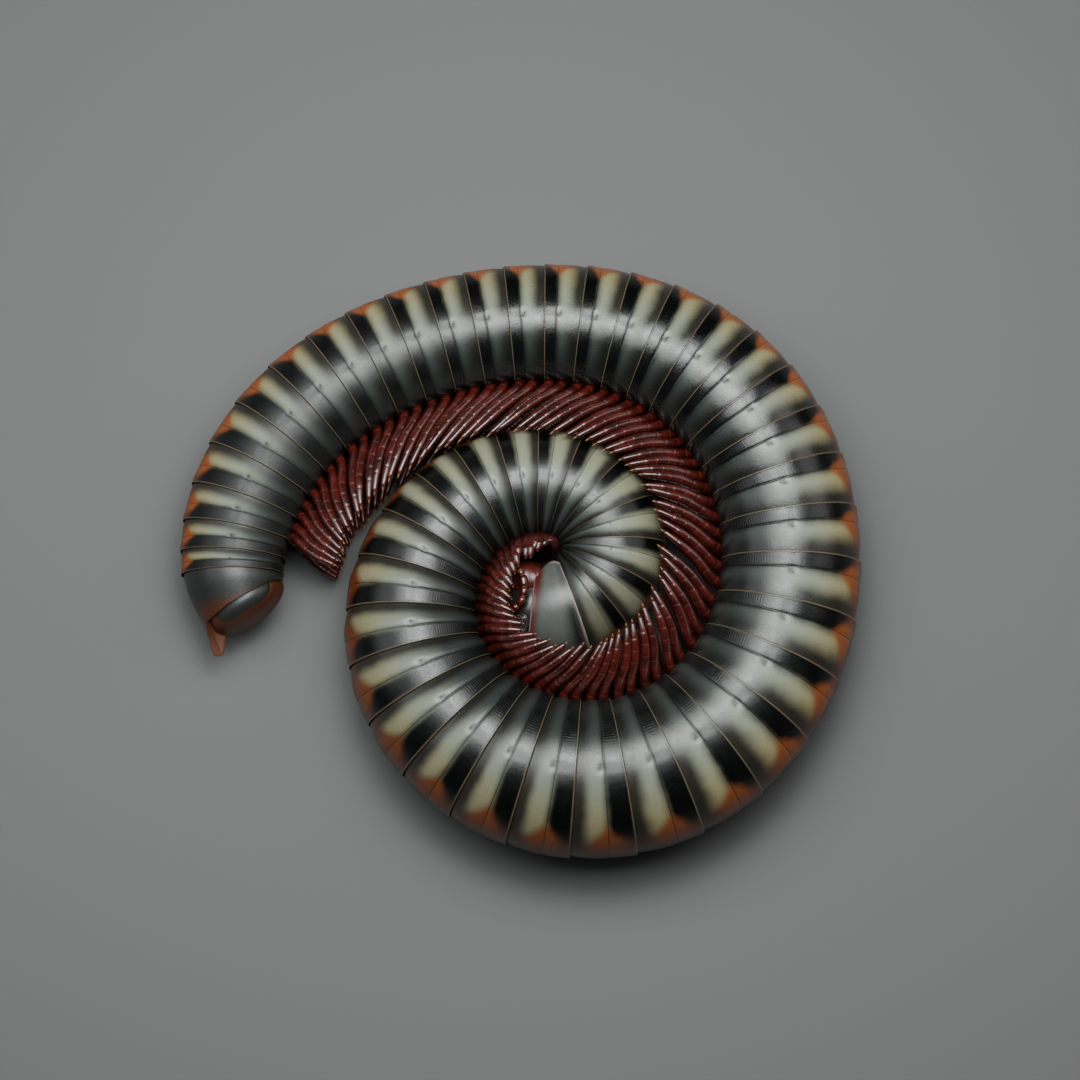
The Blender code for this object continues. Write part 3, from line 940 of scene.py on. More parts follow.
    def build(self, finish: bpy.types.Material) -> list[bpy.types.Object]:
        """Makes the rings, one object for each length of the trunk.

        Args:
            finish: the shell's material.

        Returns:
            The objects, from the head on.
        """
        plan = self.plan
        pattern = self.pattern()
        recipe = self.recipe()
        made = []
        first = 2
        start, end = self.shifted
        for number, last in enumerate(plan.length_ends, 1):
            rings = np.arange(first, last + 1)
            shift = self.seam_shift * step(rings, start, start + 4) * (1 - step(rings, end - 4, end))
            sizes = {
                "ring": rings,
                "seam_shift": shift,
                "radius": plan.radius[rings] * MM,
                "radius_ahead": plan.radius[rings - 1] * MM,
                "belly": plan.belly[rings] * MM,
                "belly_ahead": np.minimum(plan.belly[rings - 1], plan.belly[rings]) * MM,
                "heading": plan.heading[rings - 1],
                "turn": plan.turn[rings],
                "bend": plan.length[rings] / plan.turn[rings] * MM,
                "front_x": plan.place[rings - 1, 0] * MM,
                "front_y": plan.place[rings - 1, 1] * MM,
                "pored": (rings >= self.first_pore_ring) & (rings < plan.last_ring),
            }
            points = np.column_stack([plan.place[rings - 1], plan.radius[rings]])
            piece = new_object(f"rings_{number:02d}", points, [], attributes=sizes)
            recipe.run(piece, **{
                "Pattern": pattern,
                "Pore depth": self.pore_depth * MM,
                "Belly softness": self.clamp_softness * MM,
                "Wobble": self.wobble * MM,
                "Material": finish,
            })
            for name in set(sizes) - {"ring"}:
                piece.data.attributes.remove(piece.data.attributes[name])
            for name in ("angle", "reach"):
                piece.data.attributes.remove(piece.data.attributes[name])
            made.append(piece)
            first = last + 1
        bpy.data.objects.remove(pattern)
        return made


@dataclass(frozen=True)
class LimbPlan:
    """How thick a leg or antenna is along its length, and where its joints are."""

    joints: tuple[float, ...]
    radii: tuple[tuple[float, float], ...]
    pinch: float = 0.035
    swell: float = 0.03
    joint_width: float = 0.008
    places: tuple[float, ...] = (0.0, 0.05, 0.12, 0.28, 0.46, 0.64, 0.82, 0.93)

    def samples(self) -> Array:
        """The shares of the length at which the limb is drawn, closer at its joints."""
        ends = (*self.joints, 1.0)
        parts = zip(ends[:-1], ends[1:])
        shares = [low + (high - low) * place for low, high in parts for place in self.places]
        return np.array([*shares, 1.0])

    def joint(self, share: Array) -> Array:
        """How close places are to a joint: 1 there and 0 away from it."""
        away = np.abs(share[:, None] - np.array([*self.joints[1:], math.inf])).min(1)
        return np.exp(-((away / self.joint_width) ** 2))

    def radius(self, share: Array) -> Array:
        """How thick the limb is, in millimetres."""
        knots, values = zip(*self.radii)
        plain = np.interp(share, knots, values)
        ends = np.array([*self.joints, 1.0])
        part = np.clip(np.searchsorted(ends, share, side="right") - 1, 0, len(ends) - 2)
        inside = (share - ends[part]) / (ends[part + 1] - ends[part])
        swollen = plain * (1 + self.swell * (inside - 0.45))
        return swollen * (1 - self.pinch * self.joint(share))


class LimbRecipe:
    """The tree that sweeps limbs along their lines."""

    def __init__(self) -> None:
        """Builds the tree, which reads each line's thickness from its points."""
        recipe = Recipe("limbs_on_lines")
        sides = recipe.input("Sides", "Int")
        lines = recipe.node("GeometryNodeMeshToCurve", {"Mesh": recipe.geometry})
        round_ = recipe.node("GeometryNodeCurvePrimitiveCircle", {"Resolution": sides, "Radius": 1.0})
        inputs = {
            "Curve": lines,
            "Profile Curve": round_,
            "Scale": recipe.attribute("thickness"),
            "Fill Caps": True,
        }
        recipe.finish(recipe.node("GeometryNodeCurveToMesh", inputs))
        self.recipe = recipe

    def sweep(self, name: str, limbs: list[tuple[Array, LimbPlan]], finish: bpy.types.Material,
              sides: int) -> bpy.types.Object:
        """Makes one object of limbs.

        Args:
            name: its name.
            limbs: each limb's points, read at its plan's samples, and its plan.
            finish: their material.
            sides: how many sides a limb has.

        Returns:
            The object.
        """
        edges = []
        start = 0
        for line, _ in limbs:
            here = start + np.arange(len(line) - 1)
            edges.append(np.stack([here, here + 1], -1))
            start += len(line)
        attributes = {
            "along": np.concatenate([plan.samples() for _, plan in limbs]),
            "joint": np.concatenate([plan.joint(plan.samples()) for _, plan in limbs]),
            "thickness": np.concatenate([plan.radius(plan.samples()) for _, plan in limbs]) * MM,
        }
        points = np.concatenate([line for line, _ in limbs])
        made = new_object(name, points, [], attributes=attributes, edges=np.concatenate(edges))
        self.recipe.run(made, Sides=sides, Material=finish)
        return made


@dataclass
class Legs:
    """The legs, swept back along the belly and over the next whorl's back."""

    plan: BodyPlan
    limbs: LimbRecipe
    head_room: Callable[[Array], Array]
    # Ring number, then where a tip lies from its root: past the belly, sideways, and in rings to the
    # tail; the last number says how early the leg rises on its way.
    stations: tuple[tuple[float, ...], ...] = (
        (2, 0.45, 2.0, 0.4, 2.2),
        (6, 0.6, 2.2, 0.5, 2.2),
        (9, 1.8, 2.8, 0.9, 3.4),
        (14, 2.4, 2.8, 1.1, 3.2),
        (17, 2.9, 2.6, 1.5, 2.2),
        (20, 3.4, 2.0, 1.8, 1.7),
        (26, 3.8, 1.7, 1.7, 1.7),
        (31, 3.7, 1.6, 2.1, 1.7),
        (38, 3.3, 1.6, 2.8, 1.7),
        (43, 3.6, 1.6, 2.3, 1.7),
        (48, 3.3, 1.6, 2.0, 1.7),
    )
    # How much of the sweep and of the reach a leg has made at shares of its length.
    stages: tuple[tuple[float, ...], ...] = (
        (0.0, 0.0, -0.10),
        (0.12, 0.06, 0.08),
        (0.42, 0.34, 0.40),
        (0.74, 0.68, 0.74),
        (1.0, 1.0, 1.0),
    )
    # How much further towards the tail the lower legs lie than the upper ones, in rings.
    lower_lag: float = 0.34
    shape: LimbPlan = LimbPlan(
        joints=(0.0, 0.12, 0.27, 0.43, 0.58, 0.73, 0.94),
        radii=(
            (0.0, 0.30), (0.15, 0.32), (0.45, 0.31), (0.7, 0.265), (0.93, 0.16), (0.95, 0.08), (1.0, 0.012),
        ),
    )
    stance: float = 0.14
    pair_places: tuple[float, float] = (-0.73, -0.27)
    most_spread: float = 0.78
    one_pair_until: int = 4
    last_legged_ring: int = 48
    rings_beside: int = 7
    # The share of a leg at its root that may touch, and how a leg is drawn in until the rest is clear.
    rooted: float = 0.2
    shortest: float = 0.25
    shorten_by: float = 0.05
    gap: float = 0.10
    sides: int = 10
    variation: float = 0.045
    seed: int = 7

    def route(self, s: float, side: Side, sizes: tuple[float, float, float, float]) -> Array:
        """A leg's line from inside the belly to its claw.

        Args:
            s: where the leg grows.
            side: the animal's right or left side.
            sizes: its reach past the belly, its spread sideways, its sweep in rings and how early it rises.

        Returns:
            The line's points at the shape's samples.
        """
        reach, spread, sweep, rise = sizes
        ring = self.plan.ring_at(s)
        radius = self.plan.radius[ring]
        belly = self.plan.belly[ring]
        stages = np.array(self.stages)
        swept, reached = spline(stages[:, 0], stages[:, 1:], self.shape.samples()).T
        risen = 1 - np.clip(1 - reached, 0, None) ** rise
        height = radius + side * (self.stance * radius + risen * spread)
        return self.plan.point(s + swept * sweep, -belly - reached * reach, height)

    def leg(self, s: float, side: Side, draw: np.random.Generator) -> Array:
        """One leg's line, drawn in until it clears the other whorls and the head.

        Args:
            s: where the leg grows.
            side: the animal's right or left side.
            draw: the source of its small differences.

        Returns:
            The line's points.
        """
        ring = self.plan.ring_at(s)
        rings = [station[0] for station in self.stations]
        sizes = np.array([np.interp(ring, rings, [row[i] for row in self.stations]) for i in (1, 2, 3, 4)])
        reach, spread, sweep, rise = sizes * (1 + self.variation * draw.uniform(-1, 1, 4))
        sweep += self.lower_lag if side is Side.LEFT else 0.0
        spread = min(spread, self.most_spread * self.plan.radius[ring])
        shares = self.shape.samples()
        thick = self.shape.radius(shares)
        outer = shares > self.rooted
        for shrink in np.arange(1.0, self.shortest, -self.shorten_by):
            line = self.route(s, side, (reach * shrink, spread, sweep, rise))
            room = self.plan.room(line[outer], ring, self.rings_beside)
            room = np.minimum(room, self.head_room(line[outer]))
            if (room - thick[outer]).min() > self.gap:
                break
        return line

    def build(self, finish: bpy.types.Material) -> list[bpy.types.Object]:
        """Makes the legs, one object for each length of the trunk.

        Args:
            finish: the legs' material.

        Returns:
            The objects, from the head on.
        """
        draw = np.random.default_rng(self.seed)
        made = []
        first = 2
        for number, last in enumerate(self.plan.length_ends, 1):
            legs = []
            for ring in range(first, min(last, self.last_legged_ring) + 1):
                places = (-0.5,) if ring <= self.one_pair_until else self.pair_places
                for place in places:
                    legs += [(self.leg(ring + place, side, draw), self.shape) for side in Side]
            made.append(self.limbs.sweep(f"legs_{number:02d}", legs, finish, self.sides))
            first = last + 1
        return made


@dataclass
class Shield:
    """The collum, a saddle of horn behind the head whose lower corners draw back."""

    plan: BodyPlan
    reach_round: float = 134.0
    corner_starts: float = 121.0
    corner_back: float = 0.50
    lobe: float = 0.075
    front: float = -0.34
    thickness: float = 0.26
    columns: int = 180
    # Share of the way from its front edge to its rear edge, then its reach as a share of the radius.
    profile: tuple[tuple[float, float], ...] = (
        (0.0, 0.835), (0.012, 0.850), (0.03, 0.858), (0.06, 0.862), (0.09, 0.868), (0.16, 0.893),
        (0.26, 0.925), (0.38, 0.951), (0.50, 0.970), (0.62, 0.983), (0.74, 0.991), (0.86, 0.996),
        (0.94, 0.998), (0.965, 1.0), (0.99, 1.0), (1.0, 0.996),
    )

    def build(self, finish: bpy.types.Material) -> bpy.types.Object:
        """Makes the shield.

        Args:
            finish: its material.

        Returns:
            The object.
        """
        plan = self.plan
        rows = np.array(self.profile)
        shares = np.concatenate([rows[:, 0], rows[::-1, 0]])
        reach = np.concatenate([rows[:, 1] * plan.radius[1], rows[::-1, 1] * plan.radius[1] - self.thickness])
        angles = np.radians(np.linspace(-self.reach_round, self.reach_round, self.columns))
        share, angle = np.meshgrid(shares, angles, indexing="ij")
        reach = np.repeat(reach[:, None], self.columns, 1)
        from_top = np.degrees(np.abs(angle))
        beyond = (from_top - self.corner_starts) / (self.reach_round - self.corner_starts)
        corner = 1 - np.sqrt(1 - np.clip(beyond, 0, 1) ** 2)
        s = self.front + (1 - self.front) * (share + (1 - share) * self.corner_back * corner)
        angle = angle * (1 + self.lobe * np.sin(np.pi * share ** 0.65))
        height = plan.radius[1] + (reach * np.sin(angle)).ravel()
        points = plan.point(s.ravel(), (reach * np.cos(angle)).ravel(), height)
        around = grid_faces(len(shares) + 1, self.columns, closed=False) % len(points)
        last = np.arange(len(shares)) * self.columns
        ends = [last[None, :], (last + self.columns - 1)[None, ::-1]]
        rear = step(share, 0.955, 0.975)
        front = 1 - step(share, 0.02, 0.035)
        side = 1 - step(self.reach_round - from_top, 2.0, 5.0)
        rim = np.maximum(np.maximum(rear * 0.8, front), side)
        ventral = step(from_top, 60.0, 125.0)
        tone = (1 - step(share, 0.02, 0.30 + 0.25 * ventral)) * (0.75 + 0.25 * ventral)
        dorsal = 1 - step(from_top, 62.0, 118.0)
        band = step(share, 0.66 + 0.16 * (1 - dorsal), 0.84) * (1 - step(share, 0.93, 0.96))
        band = band * (0.30 + 0.62 * dorsal)
        attributes = {"tone": tone.ravel(), "rim": rim.ravel(), "band": band.ravel()}
        made = new_object("collum_shield", points, [around, *ends], finish, attributes)
        point_out(made.data)
        return made


class Lobe(NamedTuple):
    """A bulge of a skin: its middle and half its size along the three directions."""

    place: tuple[float, float, float]
    size: tuple[float, float, float]


@dataclass
class Local:
    """A frame of three directions at a place of the animal."""

    origin: Array
    forward: Array
    back: Array

    def point(self, points: Array) -> Array:
        """Points of the frame, one row each, in the world."""
        points = np.atleast_2d(points)
        up = np.array([0.0, 0.0, 1.0])
        return self.origin + points[:, :1] * self.forward + points[:, 1:2] * self.back + points[:, 2:] * up


@dataclass
class Head:
    """The head: one skin over its lobes, two fields of lenses and two antennae.

    Places are forward, to the back and to the right, from the middle of its rear face.
    """

    plan: BodyPlan
    limbs: LimbRecipe
    gap: float = 0.3
    # What legs keep clear of: the capsule and the space of an antenna.
    bulks: tuple[Lobe, ...] = (
        Lobe((0.5, -0.3, 0.0), (1.80, 2.75, 2.45)),
        Lobe((1.70, 0.45, 2.15), (0.65, 0.40, 0.70)),
        Lobe((0.95, -0.85, 2.85), (0.45, 1.40, 0.40)),
    )
    core: tuple[float, float, float] = (0.5, -0.4, 0.0)
    softness: float = 0.055
    detail: int = 7
    furthest: float = 4.2
    lobes: tuple[Lobe, ...] = (
        Lobe((0.32, -0.02, 0.0), (1.92, 2.38, 2.38)),
        Lobe((0.80, -1.35, 0.0), (1.28, 1.20, 1.62)),
        Lobe((1.12, -2.28, 0.0), (0.78, 0.52, 1.22)),
        Lobe((0.72, -1.65, 1.74), (0.86, 1.05, 0.74)),
        Lobe((0.05, -1.55, 1.92), (0.55, 0.80, 0.52)),
        Lobe((0.50, -2.34, 0.0), (0.90, 0.56, 1.15)),
        Lobe((0.35, -2.55, 0.42), (0.62, 0.36, 0.38)),
        Lobe((1.66, 0.42, 1.22), (0.42, 0.46, 0.44)),
        Lobe((0.75, 1.05, 1.45), (0.75, 0.85, 0.62)),
        Lobe((-0.60, -0.10, 0.0), (0.90, 2.05, 2.10)),
    )
    socket: tuple[float, float, float] = (2.10, 0.48, 1.52)
    socket_size: float = 0.36
    eye_place: tuple[float, float, float] = (1.0, 1.2, 1.72)
    eye_out: tuple[float, float, float] = (0.35, 0.45, 0.85)
    eye_size: tuple[float, float, float] = (0.54, 0.70, 0.33)
    lens_pitch: float = 0.158
    lens_size: float = 0.082
    antenna_knots: tuple[tuple[float, float, float], ...] = (
        (1.95, 0.44, 1.42), (2.08, 0.50, 1.85), (1.94, 0.48, 2.30), (1.58, 0.42, 2.62), (1.12, 0.15, 2.86),
        (0.86, -0.40, 2.92), (0.82, -1.05, 2.88), (0.92, -1.60, 2.80), (1.10, -2.0, 2.70),
    )
    antenna_shape: LimbPlan = LimbPlan(
        joints=(0.0, 0.10, 0.27, 0.43, 0.58, 0.72, 0.90),
        radii=((0.0, 0.25), (0.1, 0.24), (0.5, 0.245), (0.85, 0.265), (0.97, 0.22), (1.0, 0.13)),
        pinch=0.30,
        swell=0.34,
        joint_width=0.020,
    )

    def __post_init__(self) -> None:
        """Places the head in front of the collum."""
        place, heading = self.plan.pose(0)
        forward = -np.array([math.cos(heading[0]), math.sin(heading[0]), 0.0])
        back = np.array([math.sin(heading[0]), -math.cos(heading[0]), 0.0])
        origin = np.array([*place[0], self.plan.radius[1]]) + self.gap * forward
        self.frame = Local(origin, forward, back)

    def room(self, points: Array) -> Array:
        """About how far points lie outside the capsule and the antennae."""
        from_origin = points - self.frame.origin
        flat = from_origin @ self.frame.forward, from_origin @ self.frame.back
        local = np.stack([*flat, np.abs(from_origin[:, 2])], -1)
        shares = [np.linalg.norm((local - bulk.place) / bulk.size, axis=1) for bulk in self.bulks]
        return np.min([(share - 1) * min(bulk.size) for share, bulk in zip(shares, self.bulks)], axis=0)

    def eye_axes(self) -> tuple[Array, Array, Array]:
        """The right eye's directions along, across and out of it."""
        out = np.array(self.eye_out) / np.linalg.norm(self.eye_out)
        along = np.array([1.0, 0.0, 0.0]) - out[0] * out
        along = along / np.linalg.norm(along)
        return along, np.cross(out, along), out

    def depth(self, points: Array) -> Array:
        """How far points lie outside the head's skin; less than 0 is inside.

        Args:
            points: the points, one row each, in the head's frame.

        Returns:
            One distance a point.
        """
        mirrored = np.column_stack([points[:, :2], np.abs(points[:, 2])])
        total = np.zeros(len(points))
        for lobe in self.lobes:
            size = np.array(lobe.size)
            away = (mirrored - lobe.place) / size
            near = np.linalg.norm(away, axis=1)
            steep = np.linalg.norm(away / size, axis=1)
            total += np.exp(-np.clip(near * (near - 1) / np.maximum(steep, 1e-6), -2, 2) / self.softness)
        outside = -self.softness * np.log(np.maximum(total, 1e-30))
        hollow = self.socket_size - np.linalg.norm(mirrored - self.socket, axis=1)
        return np.maximum(outside, hollow) + self.grooves(mirrored)

    def grooves(self, points: Array) -> Array:
        """How deep the lines of the head are cut at points on its right half."""
        f, d, z = points.T
        median = 0.050 * np.exp(-((z / 0.055) ** 2)) * step(d, -0.9, -0.3)
        lip = -1.30 - 0.10 * z**2
        brow = 0.030 * np.exp(-(((d - lip) / 0.055) ** 2)) * step(f, 0.6, 1.2) * (1 - step(z, 1.2, 1.5))
        mouth_at = -2.36 - 0.05 * z**2
        mouth = 0.11 * np.exp(-(((d - mouth_at) / 0.05) ** 2)) * step(f, 0.9, 1.3) * (1 - step(z, 1.35, 1.7))
        cheek = np.hypot((f - 0.72) / 0.86, (d + 1.65) / 1.05)
        seam = 0.045 * np.exp(-(((cheek - 0.80) / 0.05) ** 2)) * step(z, 1.4, 1.8)
        notch = 0.16 * np.exp(-((z / 0.20) ** 2)) * np.exp(-(((d + 2.66) / 0.12) ** 2)) * step(f, 0.9, 1.2)
        underline = 0.04 * np.exp(-(((z - 0.10) / 0.04) ** 2))
        underline = underline * (1 - step(d, -2.6, -2.4)) * (1 - step(f, 0.8, 1.1))
        punctures = np.zeros(len(points))
        for at in (0.30, 0.78):
            punctures += 0.05 * np.exp(-((np.hypot(z - at, d + 2.02) / 0.05) ** 2)) * step(f, 0.9, 1.2)
        along, across, out = self.eye_axes()
        from_eye = points - self.eye_place
        ring = np.hypot(from_eye @ along / self.eye_size[0], from_eye @ across / self.eye_size[1])
        eye = 0.06 * np.exp(-(((ring - 1.02) / 0.07) ** 2)) * step(z, 0.6, 1.0)
        return median + brow + mouth + seam + notch + underline + punctures + eye

    def capsule(self, finish: bpy.types.Material) -> bpy.types.Object:
        """The head's skin.

        Args:
            finish: its material.

        Returns:
            The object.
        """
        ball = bmesh.new()
        bmesh.ops.create_icosphere(ball, subdivisions=self.detail, radius=1.0)
        ways = np.array([vert.co for vert in ball.verts])
        ways = ways / np.linalg.norm(ways, axis=1)[:, None]
        faces = np.array([[vert.index for vert in face.verts] for face in ball.faces])
        ball.free()
        core = np.array(self.core)
        reach = np.full(len(ways), 0.2)
        for far in np.arange(0.3, self.furthest, 0.1):
            inside = self.depth(core + far * ways) < 0
            reach = np.where(inside, far, reach)
        low, high = reach, reach + 0.1
        for _ in range(12):
            middle = (low + high) / 2
            inside = self.depth(core + middle[:, None] * ways) < 0
            low, high = np.where(inside, middle, low), np.where(inside, high, middle)
        points = core + low[:, None] * ways
        f, d, z = points[:, 0], points[:, 1], np.abs(points[:, 2])
        face = 1 - step(d, -1.9, 0.2)
        from_socket = np.linalg.norm(np.column_stack([f, d, z]) - self.socket, axis=1)
        socket = np.exp(-(((from_socket - 0.42) / 0.10) ** 2))
        lip = np.exp(-(((d + 2.58) / 0.12) ** 2)) * step(f, 1.0, 1.3)
        attributes = {"tone": face, "rim": np.maximum(socket, lip) * 0.8}
        made = new_object("head_skin", self.frame.point(points), [faces], finish, attributes)
        point_out(made.data)
        return made

    def eye(self, side: Side, name: str, lens: bpy.types.Material, recipe: Recipe) -> bpy.types.Object:
        """A low oval field of small lenses.

        Args:
            side: the animal's right or left side.
            name: the object's name.
            lens: its material.
            recipe: the tree that sets the lenses.

        Returns:
            The object.
        """
        along, across, out = self.eye_axes()
        mirror = np.array([1.0, 1.0, side])
        place = np.array(self.eye_place)
        long_, wide, high = self.eye_size
        rows, columns = 10, 48
        turn = np.arange(columns) * 2 * np.pi / columns
        lift, turn = np.meshgrid(np.linspace(-0.35, 1.45, rows), turn, indexing="ij")
        level = np.cos(lift)
        shell = np.stack([level * np.cos(turn), level * np.sin(turn), np.sin(lift)], -1).reshape(-1, 3)
        shell = np.concatenate([shell, [[0, 0, 1.0], [0, 0, -0.35]]]) * (long_, wide, high)
        points = place + shell[:, :1] * along + shell[:, 1:2] * across + shell[:, 2:] * out
        faces = [
            grid_faces(rows, columns),
            fan_faces((rows - 1) * columns, columns, len(points) - 2),
            fan_faces(0, columns, len(points) - 1, turned=True),
        ]
        base = new_object(f"{name}_base", self.frame.point(points * mirror), faces)
        spots = []
        for row in range(-5, 6):
            for column in range(-5, 6):
                x = (column + 0.5 * (row % 2)) * self.lens_pitch
                y = row * self.lens_pitch * math.sqrt(3) / 2
                share = math.hypot(x / long_, y / wide)
                if share < 0.93:
                    spots.append(place + x * along + y * across + high * math.sqrt(1 - share**2) * out)
        made = new_object(name, self.frame.point(np.array(spots) * mirror), [])
        recipe.run(made, **{"Base": base, "Lens size": self.lens_size * MM, "Material": lens})
        bpy.data.objects.remove(base)
        return made

    def lens_recipe(self) -> Recipe:
        """The tree that sets a lens at each point and joins them to the eye's base."""
        recipe = Recipe("lenses_on_eye")
        base = recipe.input("Base", "Object")
        size = recipe.input("Lens size")
        shape = recipe.tree.nodes.new("GeometryNodeObjectInfo")
        plug(recipe.tree, base, shape.inputs["Object"])
        ball = recipe.node("GeometryNodeMeshIcoSphere", {"Radius": size, "Subdivisions": 2})
        lenses = recipe.node("GeometryNodeInstanceOnPoints", {"Points": recipe.geometry, "Instance": ball})
        joined = recipe.tree.nodes.new("GeometryNodeJoinGeometry")
        recipe.tree.links.new(lenses.socket, joined.inputs[0])
        recipe.tree.links.new(shape.outputs["Geometry"], joined.inputs[0])
        recipe.finish(Wire(recipe.tree, joined.outputs[0]))
        return recipe

    def antenna(self, side: Side, name: str, finish: bpy.types.Material) -> bpy.types.Object:
        """An antenna of seven joints, with four small cones at its end.

        Args:
            side: the animal's right or left side.
            name: the object's name.
            finish: its material.

        Returns:
            The object.
        """
        mirror = np.array([1.0, 1.0, side])
        knots = np.array(self.antenna_knots)
        walked = np.concatenate([[0.0], np.cumsum(np.linalg.norm(np.diff(knots, axis=0), axis=1))])
        line = spline(walked / walked[-1], knots, self.antenna_shape.samples())
        cone = LimbPlan(joints=(0.0,), radii=((0.0, 0.045), (1.0, 0.012)), pinch=0.0, swell=0.0)
        ahead = line[-1] - line[-2]
        ahead = ahead / np.linalg.norm(ahead)
        side_way = np.cross(ahead, (0.0, 0.0, 1.0))
        side_way = side_way / np.linalg.norm(side_way)
        other = np.cross(ahead, side_way)
        limbs = [(self.frame.point(line * mirror), self.antenna_shape)]
        for turn in np.radians([45, 135, 225, 315]):
            root = line[-1] + 0.06 * (math.cos(turn) * side_way + math.sin(turn) * other)
            tip = root + 0.10 * ahead
            points = root + cone.samples()[:, None] * (tip - root)
            limbs.append((self.frame.point(points * mirror), cone))
        return self.limbs.sweep(name, limbs, finish, 20)


@dataclass
class Tail:
    """The tail: the ring before the valves, with its horn, and the two valves.

    Places are past the last ring, to the back and to the right.
    """

    plan: BodyPlan
    # Past the last ring at the back, reach of the back, the same at the belly, and half width.
    profile: tuple[tuple[float, ...], ...] = (
        (-0.25, 0.955, -0.25, -0.925, 0.955),
        (0.3, 0.925, 0.24, -0.93, 0.955),
        (1.2, 0.855, 0.30, -0.94, 0.94),
        (2.3, 0.705, 0.34, -0.93, 0.90),
        (3.2, 0.545, 0.38, -0.90, 0.86),
    )
    wall: float = 0.22
    horn_half: float = 26.0
    # The horn's back: way past the ring, to the back, narrowing, and depth.
    horn: tuple[tuple[float, float, float, float], ...] = (
        (0.0, 0.0, 1.0, 1.20),
        (0.6, -0.20, 0.72, 1.05),
        (1.2, -0.38, 0.52, 0.80),
        (1.72, -0.52, 0.40, 0.58),
        (1.90, -0.66, 0.24, 0.30),
    )
    columns: int = 240
    horn_columns: int = 60
    valve_tilt: float = 35.0
    lip_width: float = 0.45
    lip_height: float = 0.10
    band: float = 0.60
    groove_depth: float = 0.05

    def __post_init__(self) -> None:
        """Places the tail behind the last ring."""
        place, heading = self.plan.pose(self.plan.last_ring)
        self.radius = self.plan.radius[self.plan.last_ring]
        away = np.array([math.cos(heading[0]), math.sin(heading[0]), 0.0])
        back = np.array([math.sin(heading[0]), -math.cos(heading[0]), 0.0])
        self.frame = Local(np.array([*place[0], self.radius]), away, back)

    def ring(self, finish: bpy.types.Material) -> bpy.types.Object:
        """The last closed ring, cut on a slant, whose back runs out into the horn.

        Args:
            finish: its material.

        Returns:
            The object.
        """
        r = self.radius
        profile = np.array(self.profile)
        angles = np.radians(np.concatenate([
            np.linspace(-self.horn_half, self.horn_half, self.horn_columns + 1)[:-1],
            np.linspace(self.horn_half, 360 - self.horn_half, self.columns - self.horn_columns + 1)[:-1],
        ]))
        share = (1 + np.cos(angles)) / 2
        from_top = np.abs((angles + np.pi) % (2 * np.pi) - np.pi)
        tongue = np.cos(np.clip(from_top / np.radians(self.horn_half), 0, 1) * np.pi / 2) ** 2
        sections = []
        tone = []
        rim = []

        def base(at: float) -> Array:
            """The ring's section at a place along the profile.

            Args:
                at: the place, counted in the profile's rows.

            Returns:
                The section's points, one row each.
            """
            back_t, back_d, belly_t, belly_d, half = spline(np.arange(len(profile)), profile, [at])[0]
            t = belly_t + (back_t - belly_t) * share
            d = (belly_d + (back_d - belly_d) * share) * r
            return np.column_stack([t, d, half * r * np.sin(angles)])

        rows = np.concatenate([np.linspace(0, 3.85, 34), [3.88, 3.92, 3.96, 4.0]])
        for at in rows:
            sections.append(base(at))
            tone.append(np.full(len(angles), max(0.0, (at - 2.2) / 1.8)) * (0.25 + 0.75 * share**2))
            rim.append(np.full(len(angles), float(step(np.array(at), 3.80, 3.90))))
        margin = base(4.0)
        horn = np.array(self.horn)
        outer = np.linspace(0, 1, 22)
        places = spline(np.linspace(0, 1, len(horn)), horn, outer)
        for t, d, narrow, _ in places[1:]:
            tip = margin + tongue[:, None] * np.array([t, d, 0.0])
            tip[:, 2] = margin[:, 2] * (1 - tongue * (1 - narrow))
            sections.append(tip)
            tone.append(0.6 + 0.4 * tongue)
            rim.append(1.0 - 0.9 * tongue)
        for t, d, narrow, depth in places[::-1]:
            tip = margin + tongue[:, None] * np.array([t, d, 0.0])
            tip[:, 2] = margin[:, 2] * (1 - tongue * (1 - 0.8 * narrow))
            tip[:, 1:] *= 1 - self.wall / r
            tip[:, 1] -= depth * tongue
            sections.append(tip)
            tone.append(0.6 + 0.4 * tongue)
            rim.append(1.0 - 0.9 * tongue)
        for at in (3.6, 3.0, 2.2):
            inner = base(at)
            inner[:, 1:] *= 1 - self.wall / r
            sections.append(inner)
            tone.append(np.ones(len(angles)))
            rim.append(np.zeros(len(angles)))
        points = np.concatenate([*sections, sections[0].mean(0)[None], sections[-1].mean(0)[None]])
        count = len(angles)
        faces = [
            grid_faces(len(sections), count),
            fan_faces(0, count, len(points) - 2, turned=True),
            fan_faces((len(sections) - 1) * count, count, len(points) - 1),
        ]
        attributes = {
            "tone": np.concatenate([*tone, [0.0, 0.0]]),
            "rim": np.concatenate([*rim, [0.0, 0.0]]),
        }
        made = new_object("preanal_shell", self.frame.point(points), faces, finish, attributes)
        point_out(made.data)
        return made

